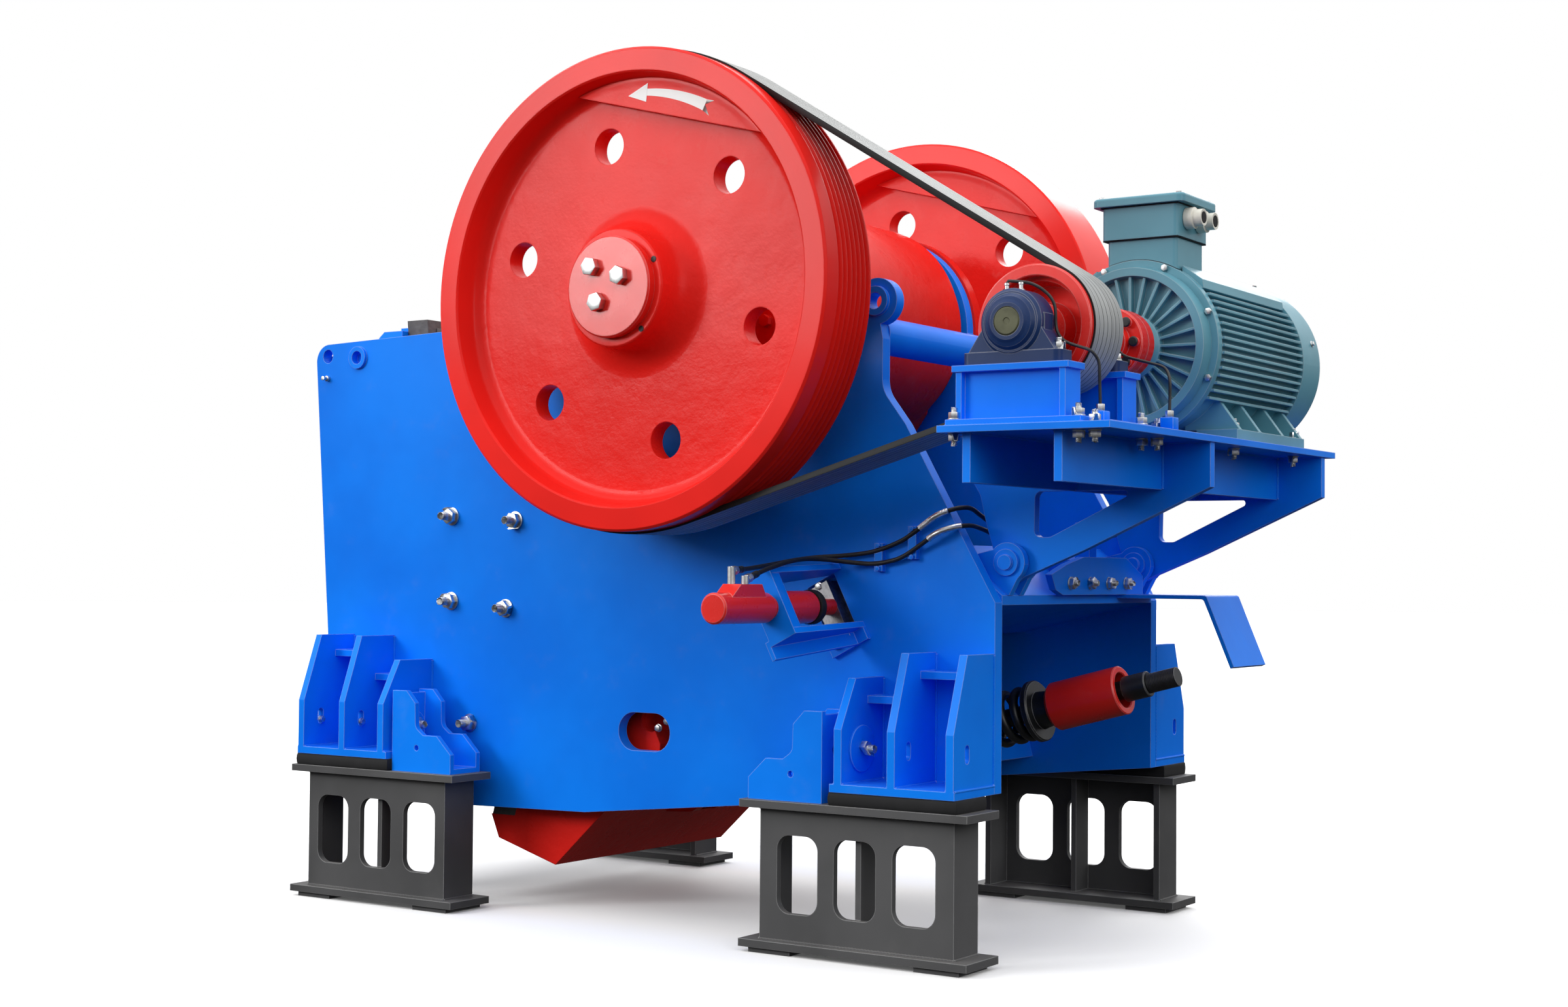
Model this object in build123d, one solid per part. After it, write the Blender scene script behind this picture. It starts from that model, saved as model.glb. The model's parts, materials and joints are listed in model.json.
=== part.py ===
from build123d import *

import os
from math import asin, cos, hypot, radians, sin, tan

# Jaw crusher on four steel stands, with its motor deck hinged behind it.
#
# Sizes are millimetres. The main shaft's axis is X = 0, +X runs to the motor deck, +Y to the side
# without the belt, and Z = 0 is the ground. The machine is drawn with its feet at feet_level and
# is then lifted onto its stands. At the end all pieces are moved together, so that the exported
# origin lies under the middle of the machine.

# Heights of the machine over its feet
feet_level = 570.0
shaft_over_feet = 1726.0

# Main shaft and flywheels
shaft_radius = 130.0
flywheel_radius = 850.0
flywheel_rim_width = 291.0
flywheel_rim_depth = 88.0
flywheel_rim_draft = 20.0
flywheel_back = 875.0
flywheel_web_inset = 95.0
flywheel_web_thickness = 70.0
flywheel_hub_radius = 208.0
flywheel_hub_proud = 39.0
hub_fillet = 96.0
rim_fillet = 48.0
web_hole_radius = 65.0
web_hole_circle = 545.0
web_hole_count = 6
web_hole_turn = 44.0
counterweight_chord = 626.0
counterweight_turn = 14.6
counterweight_proud = 42.0
groove_count = 7
groove_pitch = 29.0
groove_depth = 20.0
groove_land = 4.0
groove_floor = 9.0
shaft_cap_radius = 178.0
shaft_cap_thickness = 35.0

# Side plates
plate_thickness = 50.0
plate_outer = 663.0
plate_front_top_x = -1998.0
plate_front_top_z = 2241.0
plate_front_foot_x = -1868.0
plate_step_x = -1142.0
plate_bottom_z = 381.0
plate_low_x = -535.0
plate_rear_x = 1216.0
plate_rear_z = 1213.0
plate_corner_radius = 70.0
plate_shoulder_x = 862.0
plate_shoulder_z = 1828.0
seat_radius = 405.0
lug_x = 742.0
lug_z = 2262.0
lug_radius = 82.0
lug_eye_radius = 29.0
lug_boss_radius = 52.0
lug_boss_proud = 16.0
lug_neck_front = 676.0
lug_neck_rear = 768.0
lug_neck_top_z = 2130.0
lug_neck_foot_z = 1950.0
side_slot_front_x = -377.0
side_slot_rear_x = -138.0
side_slot_z = 710.0
side_slot_height = 142.0
front_eye_x = -1928.0
front_eye_z = 2194.0
front_eye_radius = 28.0
hopper_boss_x = -1751.0
hopper_boss_z = 2180.0
hopper_boss_radius = 46.0
hopper_boss_proud = 14.0
hopper_bore_radius = 27.0
hopper_bore_depth = 34.0

# Bearing housings between the side plates and the flywheels
housing_flange_radius = 416.0
housing_flange_thickness = 60.0
housing_barrel_radius = 330.0
housing_nose_radius = 270.0
housing_gap_to_flywheel = 35.0
running_gap = 0.05

# Feed chamber and front end
fixed_die_top_x = -1450.0
fixed_die_top_z = 2330.0
fixed_die_bottom_x = -1255.0
fixed_die_bottom_z = 425.0
die_thickness = 110.0
die_side_gap = 4.0
front_wall_top_z = 2225.0
front_wall_bottom_z = 410.0
front_wall_thickness = 90.0
front_rib_count = 5
front_rib_spacing = 380.0
front_rib_thickness = 40.0
front_web_spacing = 300.0
cheek_thickness = 30.0
clamp_block_width = 130.0
clamp_block_height = 62.0

# Swing jaw, hung on the main shaft
jaw_half_width = 560.0
hub_radius = 432.0
hub_barrel_half_width = 525.0
hub_end_radius = 400.0
hub_half_width = 570.0
swing_die_top_x = -533.0
swing_die_top_z = 2270.0
swing_die_bottom_x = -1095.0
swing_die_bottom_z = 300.0
jaw_tip_z = 165.0
jaw_lip_z = 342.0
jaw_lip_overhang = 6.0
jaw_front_wall = 130.0
jaw_rib_thickness = 50.0
jaw_pocket_width = 205.0
jaw_pocket_top_z = 1780.0
jaw_pocket_bottom_z = 1000.0

# Toggle line: it rises to the rear at this slope
toggle_slope = 27.0
adjuster_x = 565.0
adjuster_z = 1190.0
toggle_length = 866.0
toggle_thickness = 90.0
toggle_half_width = 480.0
toggle_end_radius = 45.0
toggle_end_gap = 0.3
seat_depth = 60.0
seat_half_height = 88.0
seat_side_gap = 40.0
wedge_half_thickness = 49.0
wedge_half_height = 90.0
wedge_slope = 0.04
wedge_proud = 9.0
wedge_inner_end = 560.0
opening_side_gap = 12.0

# Wedge cylinders and their brackets on the side plates
cylinder_radius = 52.0
cylinder_reach = 1388.0
cylinder_shoulder_y = 1083.0
cylinder_neck_radius = 40.0
cylinder_rear_radius = 57.0
cylinder_head_y = 817.0
cylinder_seal_y = 783.0
cylinder_seal_radius = 48.0
piston_radius = 30.0
port_block_y = (1352.0, 1278.0, 1156.0, 1120.0)
port_block_half_width = 37.0
port_block_height = 80.0
bracket_reach = 1062.0
bracket_plate = 22.0
bracket_free_span = (-66.0, 60.0)
bracket_wall_span = (40.0, 95.0)
bracket_flange_depth = 46.0
bracket_flange_thickness = 18.0
saddle_plate = 50.0
saddle_span = (-50.0, 60.0)

# Hoses from the port blocks to the block on the rear cover
hose_radius = 8.0
fitting_radius = 12.5
fitting_stem_radius = 13.5
fitting_length = 34.0
clip_xs = (770.0, 905.0)
clip_half_length = 16.0
clip_depth = 24.0
clip_overhang = 26.0
clip_gap = 0.3
manifold_x = (1062.0, 1122.0)
manifold_y = (-322.0, -262.0)
manifold_top_z = 1506.0
hose_end_y = -340.0

# Tension rod under the toggle
rod_slope = 14.8
rod_pass_x = 1050.0
rod_pass_z = 812.0
rod_radius = 34.0
rod_front = -1560.0
rod_end = 560.0
rod_eye_radius = 52.0
rod_eye_half_width = 48.0
rod_pin_radius = 26.0
rod_lug_gap = 56.0
rod_lug_thickness = 46.0
rod_lug_radius = 62.0
rod_room = 64.0
rod_guide_gap = 10.0
spring_bar_thickness = 60.0
spring_bar_half_height = 130.0
spring_outer_radius = 104.0
spring_wire_radius = 17.0
spring_turns = 6.0
spring_front = -385.0
spring_rear = -22.0
disc_radius = 113.0
disc_thickness = 28.0
sleeve_radius = 88.0
sleeve_front = 62.0
sleeve_rear = 345.0
sleeve_wall = 24.0
sleeve_depth = 150.0

# Rear beam, its cover and the hinge of the deck
beam_wall = 40.0
beam_top_z = 1410.0
beam_top_rear_x = 1000.0
cover_low_z = 1238.0
pivot_x = 1212.0
pivot_z = 1350.0
pin_radius = 32.0
pin_gap = 0.3
pin_head_radius = 46.0
arm_centre_y = 520.0
arm_thickness = 34.0
hinge_lug_thickness = 30.0
hinge_lug_radius = 68.0
hinge_side_gap = 8.0
bracket_box_y = (-313.0, 455.0)
bracket_box_rear_x = 1252.0
bracket_box_top_z = 1374.0
guard_thickness = 14.0

# Motor deck and what stands on it
drive_x = 1580.0
motor_shaft_height = 315.0
drive_under_shaft = 214.0
deck_thickness = 22.0
deck_rear_x = 1940.0
deck_front_x = 1255.0
arm_front_x = 1040.0
deck_near_front_x = 1356.0
deck_near_y = -1320.0
deck_step_y = -560.0
deck_far_y = 625.0
deck_beam_xs = (1437.0, 1750.0)
deck_beam_height = 154.0
deck_beam_thickness = 28.0
deck_beam_inset = 45.0
pedestal_plate_thickness = 20.0
pedestal_height = 188.0
pedestal_depth = 115.0
pedestal_width = 400.0
near_pedestal_y = -1270.0
inner_pedestal_y = -862.0
pillow_radius = 104.0
pillow_base_height = 38.0
pillow_base_half_length = 168.0
pulley_radius = 198.0
pulley_width = 235.0
pulley_rim = 38.0
belt_width = 206.0
belt_thickness = 14.0
belt_lift = 0.6
jackshaft_radius = 45.0
coupling_radius = 118.0
coupling_front_y = -550.0
coupling_rear_y = -450.0
coupling_pin_circle = 92.0
coupling_pin_count = 8

# Motor
motor_front_y = -400.0
motor_body_front_y = -350.0
motor_body_rear_y = 424.0
motor_rear_y = 640.0
motor_radius = 288.0
motor_ring_rise = 14.0
motor_ring_width = 34.0
motor_fin_count = 15
motor_fin_pitch = 25.0
motor_fin_height = 24.0
motor_fin_thickness = 9.0
motor_flange_radius = 270.0
motor_cowl_radius = 313.0
shield_nose_radius = 112.0
shield_recess_radius = 236.0
shield_rib_count = 28
shield_rib_thickness = 9.0
motor_foot_half_width = 317.0
motor_foot_height = 40.0
motor_foot_front_y = -220.0
motor_foot_rear_y = 418.0
terminal_x = 1600.0
terminal_y = -232.0
terminal_ring_gap = 2.0

# Feet, pads and stands
stand_height = 525.0
stand_plate = 27.0
stand_shim = 18.0
stand_inner_y = 718.0
stand_outer_y = 940.0
stand_web_y = 905.0
stand_wall = 25.0
stand_stiffener = 22.0
front_stand_x = (-1816.0, -960.0)
rear_stand_x = (367.0, 1264.0)
stand_column_inset = 66.0
stand_slot_spacing = 230.0
stand_slot_width = 165.0
stand_slot_height = 268.0
stand_slot_low_z = 140.0
stand_slot_corner = 50.0
shim_length = 170.0
pad_thickness = 45.0
foot_plate = 28.0
foot_rib = 30.0
foot_knee_height = 213.0
foot_tall = 472.0
foot_short = 382.0
foot_top_y = 848.0
foot_width = 481.0
foot_web_drop = 62.0
foot_web_reach = 770.0
foot_hole_y = 848.0
foot_hole_height = 145.0
front_foot_x = -1785.0
stop_height = 313.0
stop_length = 302.0
stop_plate_thickness = 22.0
stop_outer_y = 915.0
stop_inner_y = 745.0
stop_bolt_height = 179.0
stop_bolt_radius = 17.0
stop_boss_radius = 50.0

shaft_height = feet_level + shaft_over_feet
drive_z = shaft_height - drive_under_shaft
deck_top = drive_z - motor_shaft_height
deck_under = deck_top - deck_thickness
plate_inner = plate_outer - plate_thickness
flywheel_face = flywheel_back + flywheel_rim_width
shaft_end = flywheel_face + flywheel_hub_proud
lift_onto_stands = stand_height + pad_thickness - feet_level


def outline(*points):
    """A flat closed shape through the points."""
    return make_face(Polyline(*points, close=True))


def rounded(shape, spots, radius):
    """Round the corners of a flat shape that lie nearest to the spots."""
    corners = []
    for x, y in spots:
        corners.append(min(shape.vertices(), key=lambda v: hypot(v.X - x, v.Y - y)))
    return fillet(corners, radius)


def slab_xz(shape, y_from, y_to):
    """Extrude a shape drawn in X and Z from one Y to another."""
    return extrude(Plane.XZ.offset(-y_from) * shape, amount=y_to - y_from, dir=(0, 1, 0))


def slab_yz(shape, x_from, x_to):
    """Extrude a shape drawn in Y and Z from one X to another."""
    return extrude(Plane.YZ.offset(x_from) * shape, amount=x_to - x_from, dir=(1, 0, 0))


def slab_xy(shape, z_from, z_to):
    """Extrude a shape drawn in X and Y from one height to another."""
    return extrude(Plane.XY.offset(z_from) * shape, amount=z_to - z_from, dir=(0, 0, 1))


def block(x_range, y_range, z_range):
    """A square block between two corners."""
    x0, x1 = sorted(x_range)
    y0, y1 = sorted(y_range)
    z0, z1 = sorted(z_range)
    return Pos((x0 + x1) / 2, (y0 + y1) / 2, (z0 + z1) / 2) * Box(x1 - x0, y1 - y0, z1 - z0)


def rod_y(radius, y_from, y_to, x=0.0, z=0.0):
    """A round bar along Y."""
    low, high = sorted((y_from, y_to))
    bar = Rot(X=-90) * Cylinder(radius, high - low, align=(Align.CENTER, Align.CENTER, Align.MIN))
    return Pos(x, low, z) * bar


def rod_x(radius, x_from, x_to, y=0.0, z=0.0):
    """A round bar along X."""
    low, high = sorted((x_from, x_to))
    bar = Rot(Y=90) * Cylinder(radius, high - low, align=(Align.CENTER, Align.CENTER, Align.MIN))
    return Pos(low, y, z) * bar


def turned(shape, x=0.0, z=shaft_height):
    """Turn a profile about an axis along Y. It is a face or (radius, Y) points."""
    if isinstance(shape, (list, tuple)):
        shape = outline(*shape)
    return Pos(x, 0, z) * revolve(shape, Axis.Y)


def other_side(solid):
    """The same piece on the far side of the machine."""
    return mirror(solid, about=Plane.XZ)


# The toggle line's own directions: along it to the rear and up, and square to it
toggle_along = (cos(radians(toggle_slope)), sin(radians(toggle_slope)))
toggle_across = (-toggle_along[1], toggle_along[0])


def on_toggle(along, across):
    """A point in X and Z, measured from the adjuster's axis along and across the toggle line."""
    x = adjuster_x + along * toggle_along[0] + across * toggle_across[0]
    z = adjuster_z + along * toggle_along[1] + across * toggle_across[1]
    return (x, z)


def on_rod(along, across):
    """A point in X and Z on the tension rod's line."""
    slope = radians(rod_slope)
    x = rod_pass_x + along * cos(slope) - across * sin(slope)
    z = rod_pass_z + along * sin(slope) + across * cos(slope)
    return (x, z)


def rod_turned(points):
    """Turn a profile of (radius, distance) points about the tension rod's line."""
    shape = revolve(outline(*points), Axis.Y)
    x, z = on_rod(0, 0)
    return Pos(x, 0, z) * Rot(Y=-rod_slope) * Rot(Z=-90) * shape


def front_edge_x(z):
    """Where the leaning front edge of the side plates is at a height."""
    share = (plate_front_top_z - z) / (plate_front_top_z - feet_level)
    return plate_front_top_x + share * (plate_front_foot_x - plate_front_top_x)


def side_plate_outline():
    """The side plate's outline, with the lifting lug and the seat of the main bearing."""
    shoulder_z = shaft_height - 5
    body = outline(
        (plate_front_top_x, plate_front_top_z),
        (-seat_radius, shoulder_z),
        (seat_radius, shoulder_z),
        (lug_neck_front, lug_neck_foot_z + 20),
        (lug_neck_front, lug_z),
        (lug_x, lug_z),
        (lug_neck_rear, lug_neck_top_z),
        (lug_neck_rear, lug_neck_foot_z),
        (plate_shoulder_x, plate_shoulder_z),
        (plate_rear_x, plate_rear_z),
        (plate_rear_x, feet_level),
        (plate_low_x, plate_bottom_z + 12),
        (plate_step_x, plate_bottom_z),
        (plate_step_x, feet_level),
        (plate_front_foot_x, feet_level),
    )
    body = rounded(body, [(plate_front_top_x, plate_front_top_z)], plate_corner_radius)
    body = rounded(body, [(lug_neck_rear, lug_neck_foot_z)], 110)
    body = rounded(body, [(lug_neck_front, lug_neck_foot_z + 20)], 60)
    body = rounded(body, [(plate_shoulder_x, plate_shoulder_z)], 160)
    body += Pos(0, shaft_height) * Circle(seat_radius)
    body += Pos(lug_x, lug_z) * Circle(lug_radius)
    return body


def on_toggle_box(along_from, along_to, across_from, across_to):
    """A slanted rectangle, square to the toggle line."""
    return outline(
        on_toggle(along_from, across_from),
        on_toggle(along_to, across_from),
        on_toggle(along_to, across_to),
        on_toggle(along_from, across_to),
    )


def slab_toggle(shape, across_from, across_to):
    """Extrude a shape drawn in Y and along the toggle line, between two distances across it."""
    x, z = on_toggle(0, across_to)
    down = (-toggle_across[0], 0, -toggle_across[1])
    side = Plane(origin=(x, 0, z), x_dir=(0, 1, 0), z_dir=down)
    return extrude(side * shape, amount=across_to - across_from)


def wedge_window():
    """The slanted window in the side plate where the wedge goes through."""
    depth = wedge_half_thickness + opening_side_gap
    height = wedge_half_height + opening_side_gap
    return on_toggle_box(-depth, depth, -height, height)


def near_side_plate():
    shape = side_plate_outline()
    shape -= Pos(0, shaft_height) * Circle(housing_barrel_radius)
    shape -= Pos(lug_x, lug_z) * Circle(lug_eye_radius)
    middle = (side_slot_front_x + side_slot_rear_x) / 2
    slot = SlotOverall(side_slot_rear_x - side_slot_front_x, side_slot_height)
    shape -= Pos(middle, side_slot_z) * slot
    shape -= Pos(front_eye_x, front_eye_z) * Circle(front_eye_radius)
    shape -= wedge_window()
    plate = slab_xz(shape, -plate_outer, -plate_inner)
    hopper_face = -plate_outer - hopper_boss_proud
    boss = Pos(hopper_boss_x, hopper_boss_z) * Circle(hopper_boss_radius)
    bore = Pos(hopper_boss_x, hopper_boss_z) * Circle(hopper_bore_radius)
    plate += slab_xz(boss, hopper_face, -plate_outer)
    plate -= slab_xz(bore, hopper_face, hopper_face + hopper_bore_depth)
    lug_ring = Pos(lug_x, lug_z) * (Circle(lug_boss_radius) - Circle(lug_eye_radius))
    return plate + slab_xz(lug_ring, -plate_outer - lug_boss_proud, -plate_outer)


def fixed_die_line(offset, z):
    """X of a line parallel to the fixed die's face, that far in front of it, at a height."""
    lean = (fixed_die_bottom_x - fixed_die_top_x) / (fixed_die_top_z - fixed_die_bottom_z)
    x = fixed_die_top_x + (fixed_die_top_z - z) * lean
    return x - offset * hypot(1, lean)


def fixed_jaw_die():
    low, high = fixed_die_bottom_z, fixed_die_top_z
    shape = outline(
        (fixed_die_line(0, low), low),
        (fixed_die_line(0, high), high),
        (fixed_die_line(die_thickness, high), high),
        (fixed_die_line(die_thickness, low), low),
    )
    width = plate_inner - cheek_thickness - die_side_gap
    return slab_xz(shape, -width, width)


def front_wall():
    """The ribbed front end that carries the fixed die, between the side plates."""
    low, high = front_wall_bottom_z, front_wall_top_z
    back = die_thickness
    root = back + front_wall_thickness / 2
    wall = outline(
        (fixed_die_line(back, low), low),
        (fixed_die_line(back, high), high),
        (fixed_die_line(back + front_wall_thickness, high), high),
        (fixed_die_line(back + front_wall_thickness, low), low),
    )
    shape = slab_xz(wall, -plate_inner, plate_inner)
    top = high - 25
    bottom = top - (front_rib_count - 1) * front_rib_spacing - front_rib_thickness
    for index in range(front_rib_count):
        z = top - index * front_rib_spacing
        rib = outline(
            (front_edge_x(z) + 25, z - front_rib_thickness),
            (front_edge_x(z) + 25, z),
            (fixed_die_line(root, z), z),
            (fixed_die_line(root, z), z - front_rib_thickness),
        )
        shape += slab_xz(rib, -plate_inner, plate_inner)
    web = outline(
        (front_edge_x(top) + 40, top),
        (fixed_die_line(root, top), top),
        (fixed_die_line(root, bottom), bottom),
        (front_edge_x(bottom) + 40, bottom),
    )
    half = front_rib_thickness / 2
    for step in (-1, 0, 1):
        y = step * front_web_spacing
        shape += slab_xz(web, y - half, y + half)
    return shape


def cheek_plates():
    """Wear plates on the insides of the chamber, upper and lower pairs."""
    upper = outline((-1398, 2180), (-640, 2180), (-905, 1130), (-1290, 1130))
    lower = outline((-1288, 1120), (-908, 1120), (-1090, 470), (-1222, 470))
    near = [slab_xz(shape, -plate_inner, -plate_inner + cheek_thickness) for shape in (upper, lower)]
    return near + [other_side(piece) for piece in near]


def jaw_clamp_block():
    """The wedge bar that holds the fixed die's top edge down, with three bolting pads."""
    rear = fixed_die_line(die_thickness + 10, front_wall_top_z)
    front = rear - clamp_block_width
    low, high = front_wall_top_z, front_wall_top_z + clamp_block_height
    bar = outline((front, low), (rear, low), (rear, high), (front + 30, high), (front, high - 24))
    shape = slab_xz(bar, -plate_inner + 3, plate_inner - 3)
    for y in (-420, 0, 420):
        shape += block((front + 34, rear - 14), (y - 95, y + 95), (high, high + 24))
    return shape


def rear_beam():
    """The hollow beam behind the toggle, with a sloping rear cover."""
    front_low = on_toggle(wedge_half_thickness, -150)
    front_high = on_toggle(wedge_half_thickness, 170)
    shape = outline(
        front_low,
        (plate_rear_x, cover_low_z - 33),
        (plate_rear_x, cover_low_z),
        (beam_top_rear_x, beam_top_z),
        (front_high[0], beam_top_z),
        front_high,
    )
    inner = offset(shape, -beam_wall)
    beam = slab_xz(shape - inner, -plate_inner, plate_inner)
    for y in (-300, 0, 300):
        beam += slab_xz(shape, y - 15, y + 15)
    return beam


def cover_height(x):
    """The height of the sloping rear cover at an X."""
    share = (x - beam_top_rear_x) / (plate_rear_x - beam_top_rear_x)
    return beam_top_z + share * (cover_low_z - beam_top_z)


def rear_bracket():
    """The bolted bracket between the hinge lugs, welded on the sloping cover."""
    low, high = cover_low_z, bracket_box_top_z
    near, far = bracket_box_y
    face = outline(
        (near, low + 72),
        (near + 34, low + 18),
        (near + 90, low),
        (far, low),
        (far, low + 70),
        (far - 150, high),
        (near + 260, high),
        (near + 120, low + 108),
    )
    front = slab_yz(face, bracket_box_rear_x - 26, bracket_box_rear_x)
    start = 1060
    rib = outline(
        (start, cover_height(start)),
        (start + 30, high - 10),
        (bracket_box_rear_x - 26, high - 10),
        (bracket_box_rear_x - 26, low),
        (plate_rear_x, low),
    )
    for y in (near + 275, (near + far) / 2 + 15, far - 245):
        front += slab_xz(rib, y - 12, y + 12)
    return front


def cross_tube():
    tube = rod_y(66, -plate_inner, plate_inner, 702, shaft_height - 144)
    return tube - rod_y(54, -plate_inner + 12, plate_inner - 12, 702, shaft_height - 144)


def bearing_housing():
    """The near main bearing's housing, bolted on the side plate."""
    flange_face = -plate_outer - housing_flange_thickness
    nose = -flywheel_back + housing_gap_to_flywheel
    bore = shaft_radius + running_gap
    profile = outline(
        (bore, nose),
        (housing_nose_radius, nose),
        (housing_barrel_radius - 20, nose + 40),
        (housing_barrel_radius - 20, flange_face - 30),
        (housing_flange_radius - 34, flange_face - 18),
        (housing_flange_radius - 34, flange_face),
        (housing_flange_radius, flange_face),
        (housing_flange_radius, -plate_outer),
        (housing_barrel_radius, -plate_outer),
        (housing_barrel_radius, -plate_inner + 20),
        (bore, -plate_inner + 20),
    )
    return turned(rounded(profile, [(housing_barrel_radius - 20, flange_face - 30)], 24))


def foot(rib_xs, heights, x_low, x_high):
    """A welded foot on the near side plate: base plate, leaning ribs and short webs between."""
    inner_y, outer_y = -plate_outer, -stand_outer_y
    floor = feet_level + foot_plate
    shape = block((x_low, x_high), (outer_y, inner_y), (feet_level, floor))
    for x, height in zip(rib_xs, heights):
        rib = outline(
            (inner_y, floor),
            (outer_y, floor),
            (outer_y, feet_level + foot_knee_height),
            (-foot_top_y, feet_level + height),
            (inner_y, feet_level + height),
        )
        hole = Pos(-foot_hole_y, feet_level + foot_hole_height) * Rot(Z=90) * SlotOverall(62, 30)
        shape += slab_yz(rib - hole, x, x + foot_rib)
    for index in range(2):
        x0 = rib_xs[index] + foot_rib
        x1 = rib_xs[index + 1]
        top = feet_level + min(heights[index], heights[index + 1]) - foot_web_drop
        shape += block((x0, x1), (-foot_web_reach, inner_y), (top - 26, top))
    return shape


def rear_foot():
    first = plate_rear_x - foot_width
    xs = (first + 17, first + 225, plate_rear_x - foot_rib - 3)
    return foot(xs, (foot_short, foot_tall, foot_tall), first, plate_rear_x)


def front_foot():
    last = front_foot_x + foot_width
    xs = (front_foot_x + 3, front_foot_x + 226, last - foot_rib - 17)
    return foot(xs, (foot_tall, foot_tall, foot_short), front_foot_x, last)


def mount_pads():
    """Rubber pads between the feet and the stands."""
    spans = (
        (front_foot_x, front_foot_x + foot_width),
        (plate_rear_x - foot_width, plate_rear_x),
    )
    shapes = []
    for x0, x1 in spans:
        y_range = (-stand_outer_y, -stand_inner_y - 10)
        pad = block((x0 - 8, x1 + 8), y_range, (stand_height, stand_height + pad_thickness))
        shapes += [pad, other_side(pad)]
    return shapes


def stop_bracket(tall_x, side):
    """A welded stop on the stand beside a foot, tall beside it and low away from it."""
    base, t = stand_height, stop_plate_thickness
    shares = (
        (0, 0), (0, 1), (0.24, 1), (0.39, 0.85), (0.4, 0.55),
        (0.53, 0.46), (0.76, 0.46), (1, 0.24), (1, 0),
    )
    cheek = outline(*((tall_x + side * d * stop_length, base + h * stop_height) for d, h in shares))
    spots = [(tall_x + side * 0.4 * stop_length, base + 0.55 * stop_height)]
    cheek = rounded(cheek, spots, 34)
    cheek -= Pos(tall_x + side * 0.42 * stop_length, base + 0.3 * stop_height) * Circle(11)
    shape = slab_xz(cheek, -stop_outer_y, -stop_outer_y + t)
    shape += slab_xz(cheek, -stop_inner_y - t, -stop_inner_y)
    gap = (-stop_outer_y + t, -stop_inner_y - t)
    shape += block((tall_x, tall_x + side * 32), gap, (base, base + stop_height - 12))
    shape += block((tall_x + side * 32, tall_x + side * stop_length), gap, (base, base + 20))
    bolt_y = -(stop_outer_y + stop_inner_y) / 2
    bolt_z = base + stop_bolt_height
    boss = rod_x(stop_boss_radius, tall_x + side * 32, tall_x + side * 44, bolt_y, bolt_z)
    hole = rod_x(stop_bolt_radius, tall_x - side * 10, tall_x + side * 60, bolt_y, bolt_z)
    return shape + boss - hole


def stand(x_range):
    """A welded stand: slotted web outside, end flanges and a middle stiffener inside."""
    x0, x1 = x_range
    middle = (x0 + x1) / 2
    c0, c1 = x0 + stand_column_inset, x1 - stand_column_inset
    y_range = (-stand_outer_y, -stand_inner_y)
    shape = block(x_range, y_range, (stand_height - stand_plate, stand_height))
    shape += block(x_range, y_range, (stand_shim, stand_shim + stand_plate))
    low, high = stand_shim + stand_plate, stand_height - stand_plate
    web = Pos(middle, (low + high) / 2) * Rectangle(c1 - c0, high - low)
    slot_centre = stand_slot_low_z + stand_slot_height / 2
    for step in (-1, 0, 1):
        place = Pos(middle + step * stand_slot_spacing, slot_centre)
        web -= place * RectangleRounded(stand_slot_width, stand_slot_height, stand_slot_corner)
    web_back = -stand_web_y + stand_wall
    shape += slab_xz(web, -stand_web_y, web_back)
    inner = -stand_inner_y - 22
    for x in (c0, c1 - stand_wall):
        shape += block((x, x + stand_wall), (web_back, inner), (low, high))
    half = stand_stiffener / 2
    shape += block((middle - half, middle + half), (web_back, inner - 30), (low, high))
    for x in (x0 + 35, x1 - 35 - shim_length):
        shape += block((x, x + shim_length), (-stand_outer_y + 12, -stand_inner_y - 12), (0, stand_shim))
    return shape


def motor_deck():
    shape = outline(
        (deck_near_front_x, deck_near_y),
        (deck_rear_x, deck_near_y),
        (deck_rear_x, deck_far_y),
        (deck_front_x, deck_far_y),
        (deck_front_x, deck_step_y),
        (deck_near_front_x, deck_step_y),
    )
    return slab_xy(shape, deck_under, deck_top)


def deck_beams():
    """Cross plates under the deck, from arm to arm and out to the near end."""
    low = deck_under - deck_beam_height
    inner = arm_centre_y - arm_thickness / 2
    outer = arm_centre_y + arm_thickness / 2
    half = deck_beam_thickness / 2
    shapes = []
    for x in deck_beam_xs:
        x_range = (x - half, x + half)
        shapes.append(block(x_range, (deck_near_y + deck_beam_inset, -outer), (low, deck_under)))
        shapes.append(block(x_range, (-inner, inner), (low, deck_under)))
    return shapes


def deck_arm():
    """The near arm: a tapered plate from the hinge up to the deck's rear edge."""
    shape = outline(
        (arm_front_x, deck_under),
        (deck_rear_x - 8, deck_under),
        (deck_rear_x - 8, 1598),
        (1482, 1392),
        (1281, 1309),
        (pivot_x + 30, pivot_z - 58),
        (pivot_x - 40, pivot_z - 30),
        (1140, 1396),
        (1110, 1495),
        (1089, 1582),
        (arm_front_x, 1661),
    )
    shape = rounded(shape, [(1089, 1582)], 60)
    shape += Pos(pivot_x, pivot_z) * Circle(hinge_lug_radius)
    window = outline((1300, 1592), (1682, 1592), (1356, 1436), (1297, 1436))
    window = rounded(window, [(1300, 1592), (1297, 1436), (1356, 1436)], 24)
    window = rounded(window, [(1682, 1592)], 12)
    shape -= window
    shape -= Pos(pivot_x, pivot_z) * Circle(pin_radius + pin_gap)
    near = -arm_centre_y - arm_thickness / 2
    return slab_xz(shape, near, near + arm_thickness)


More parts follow.
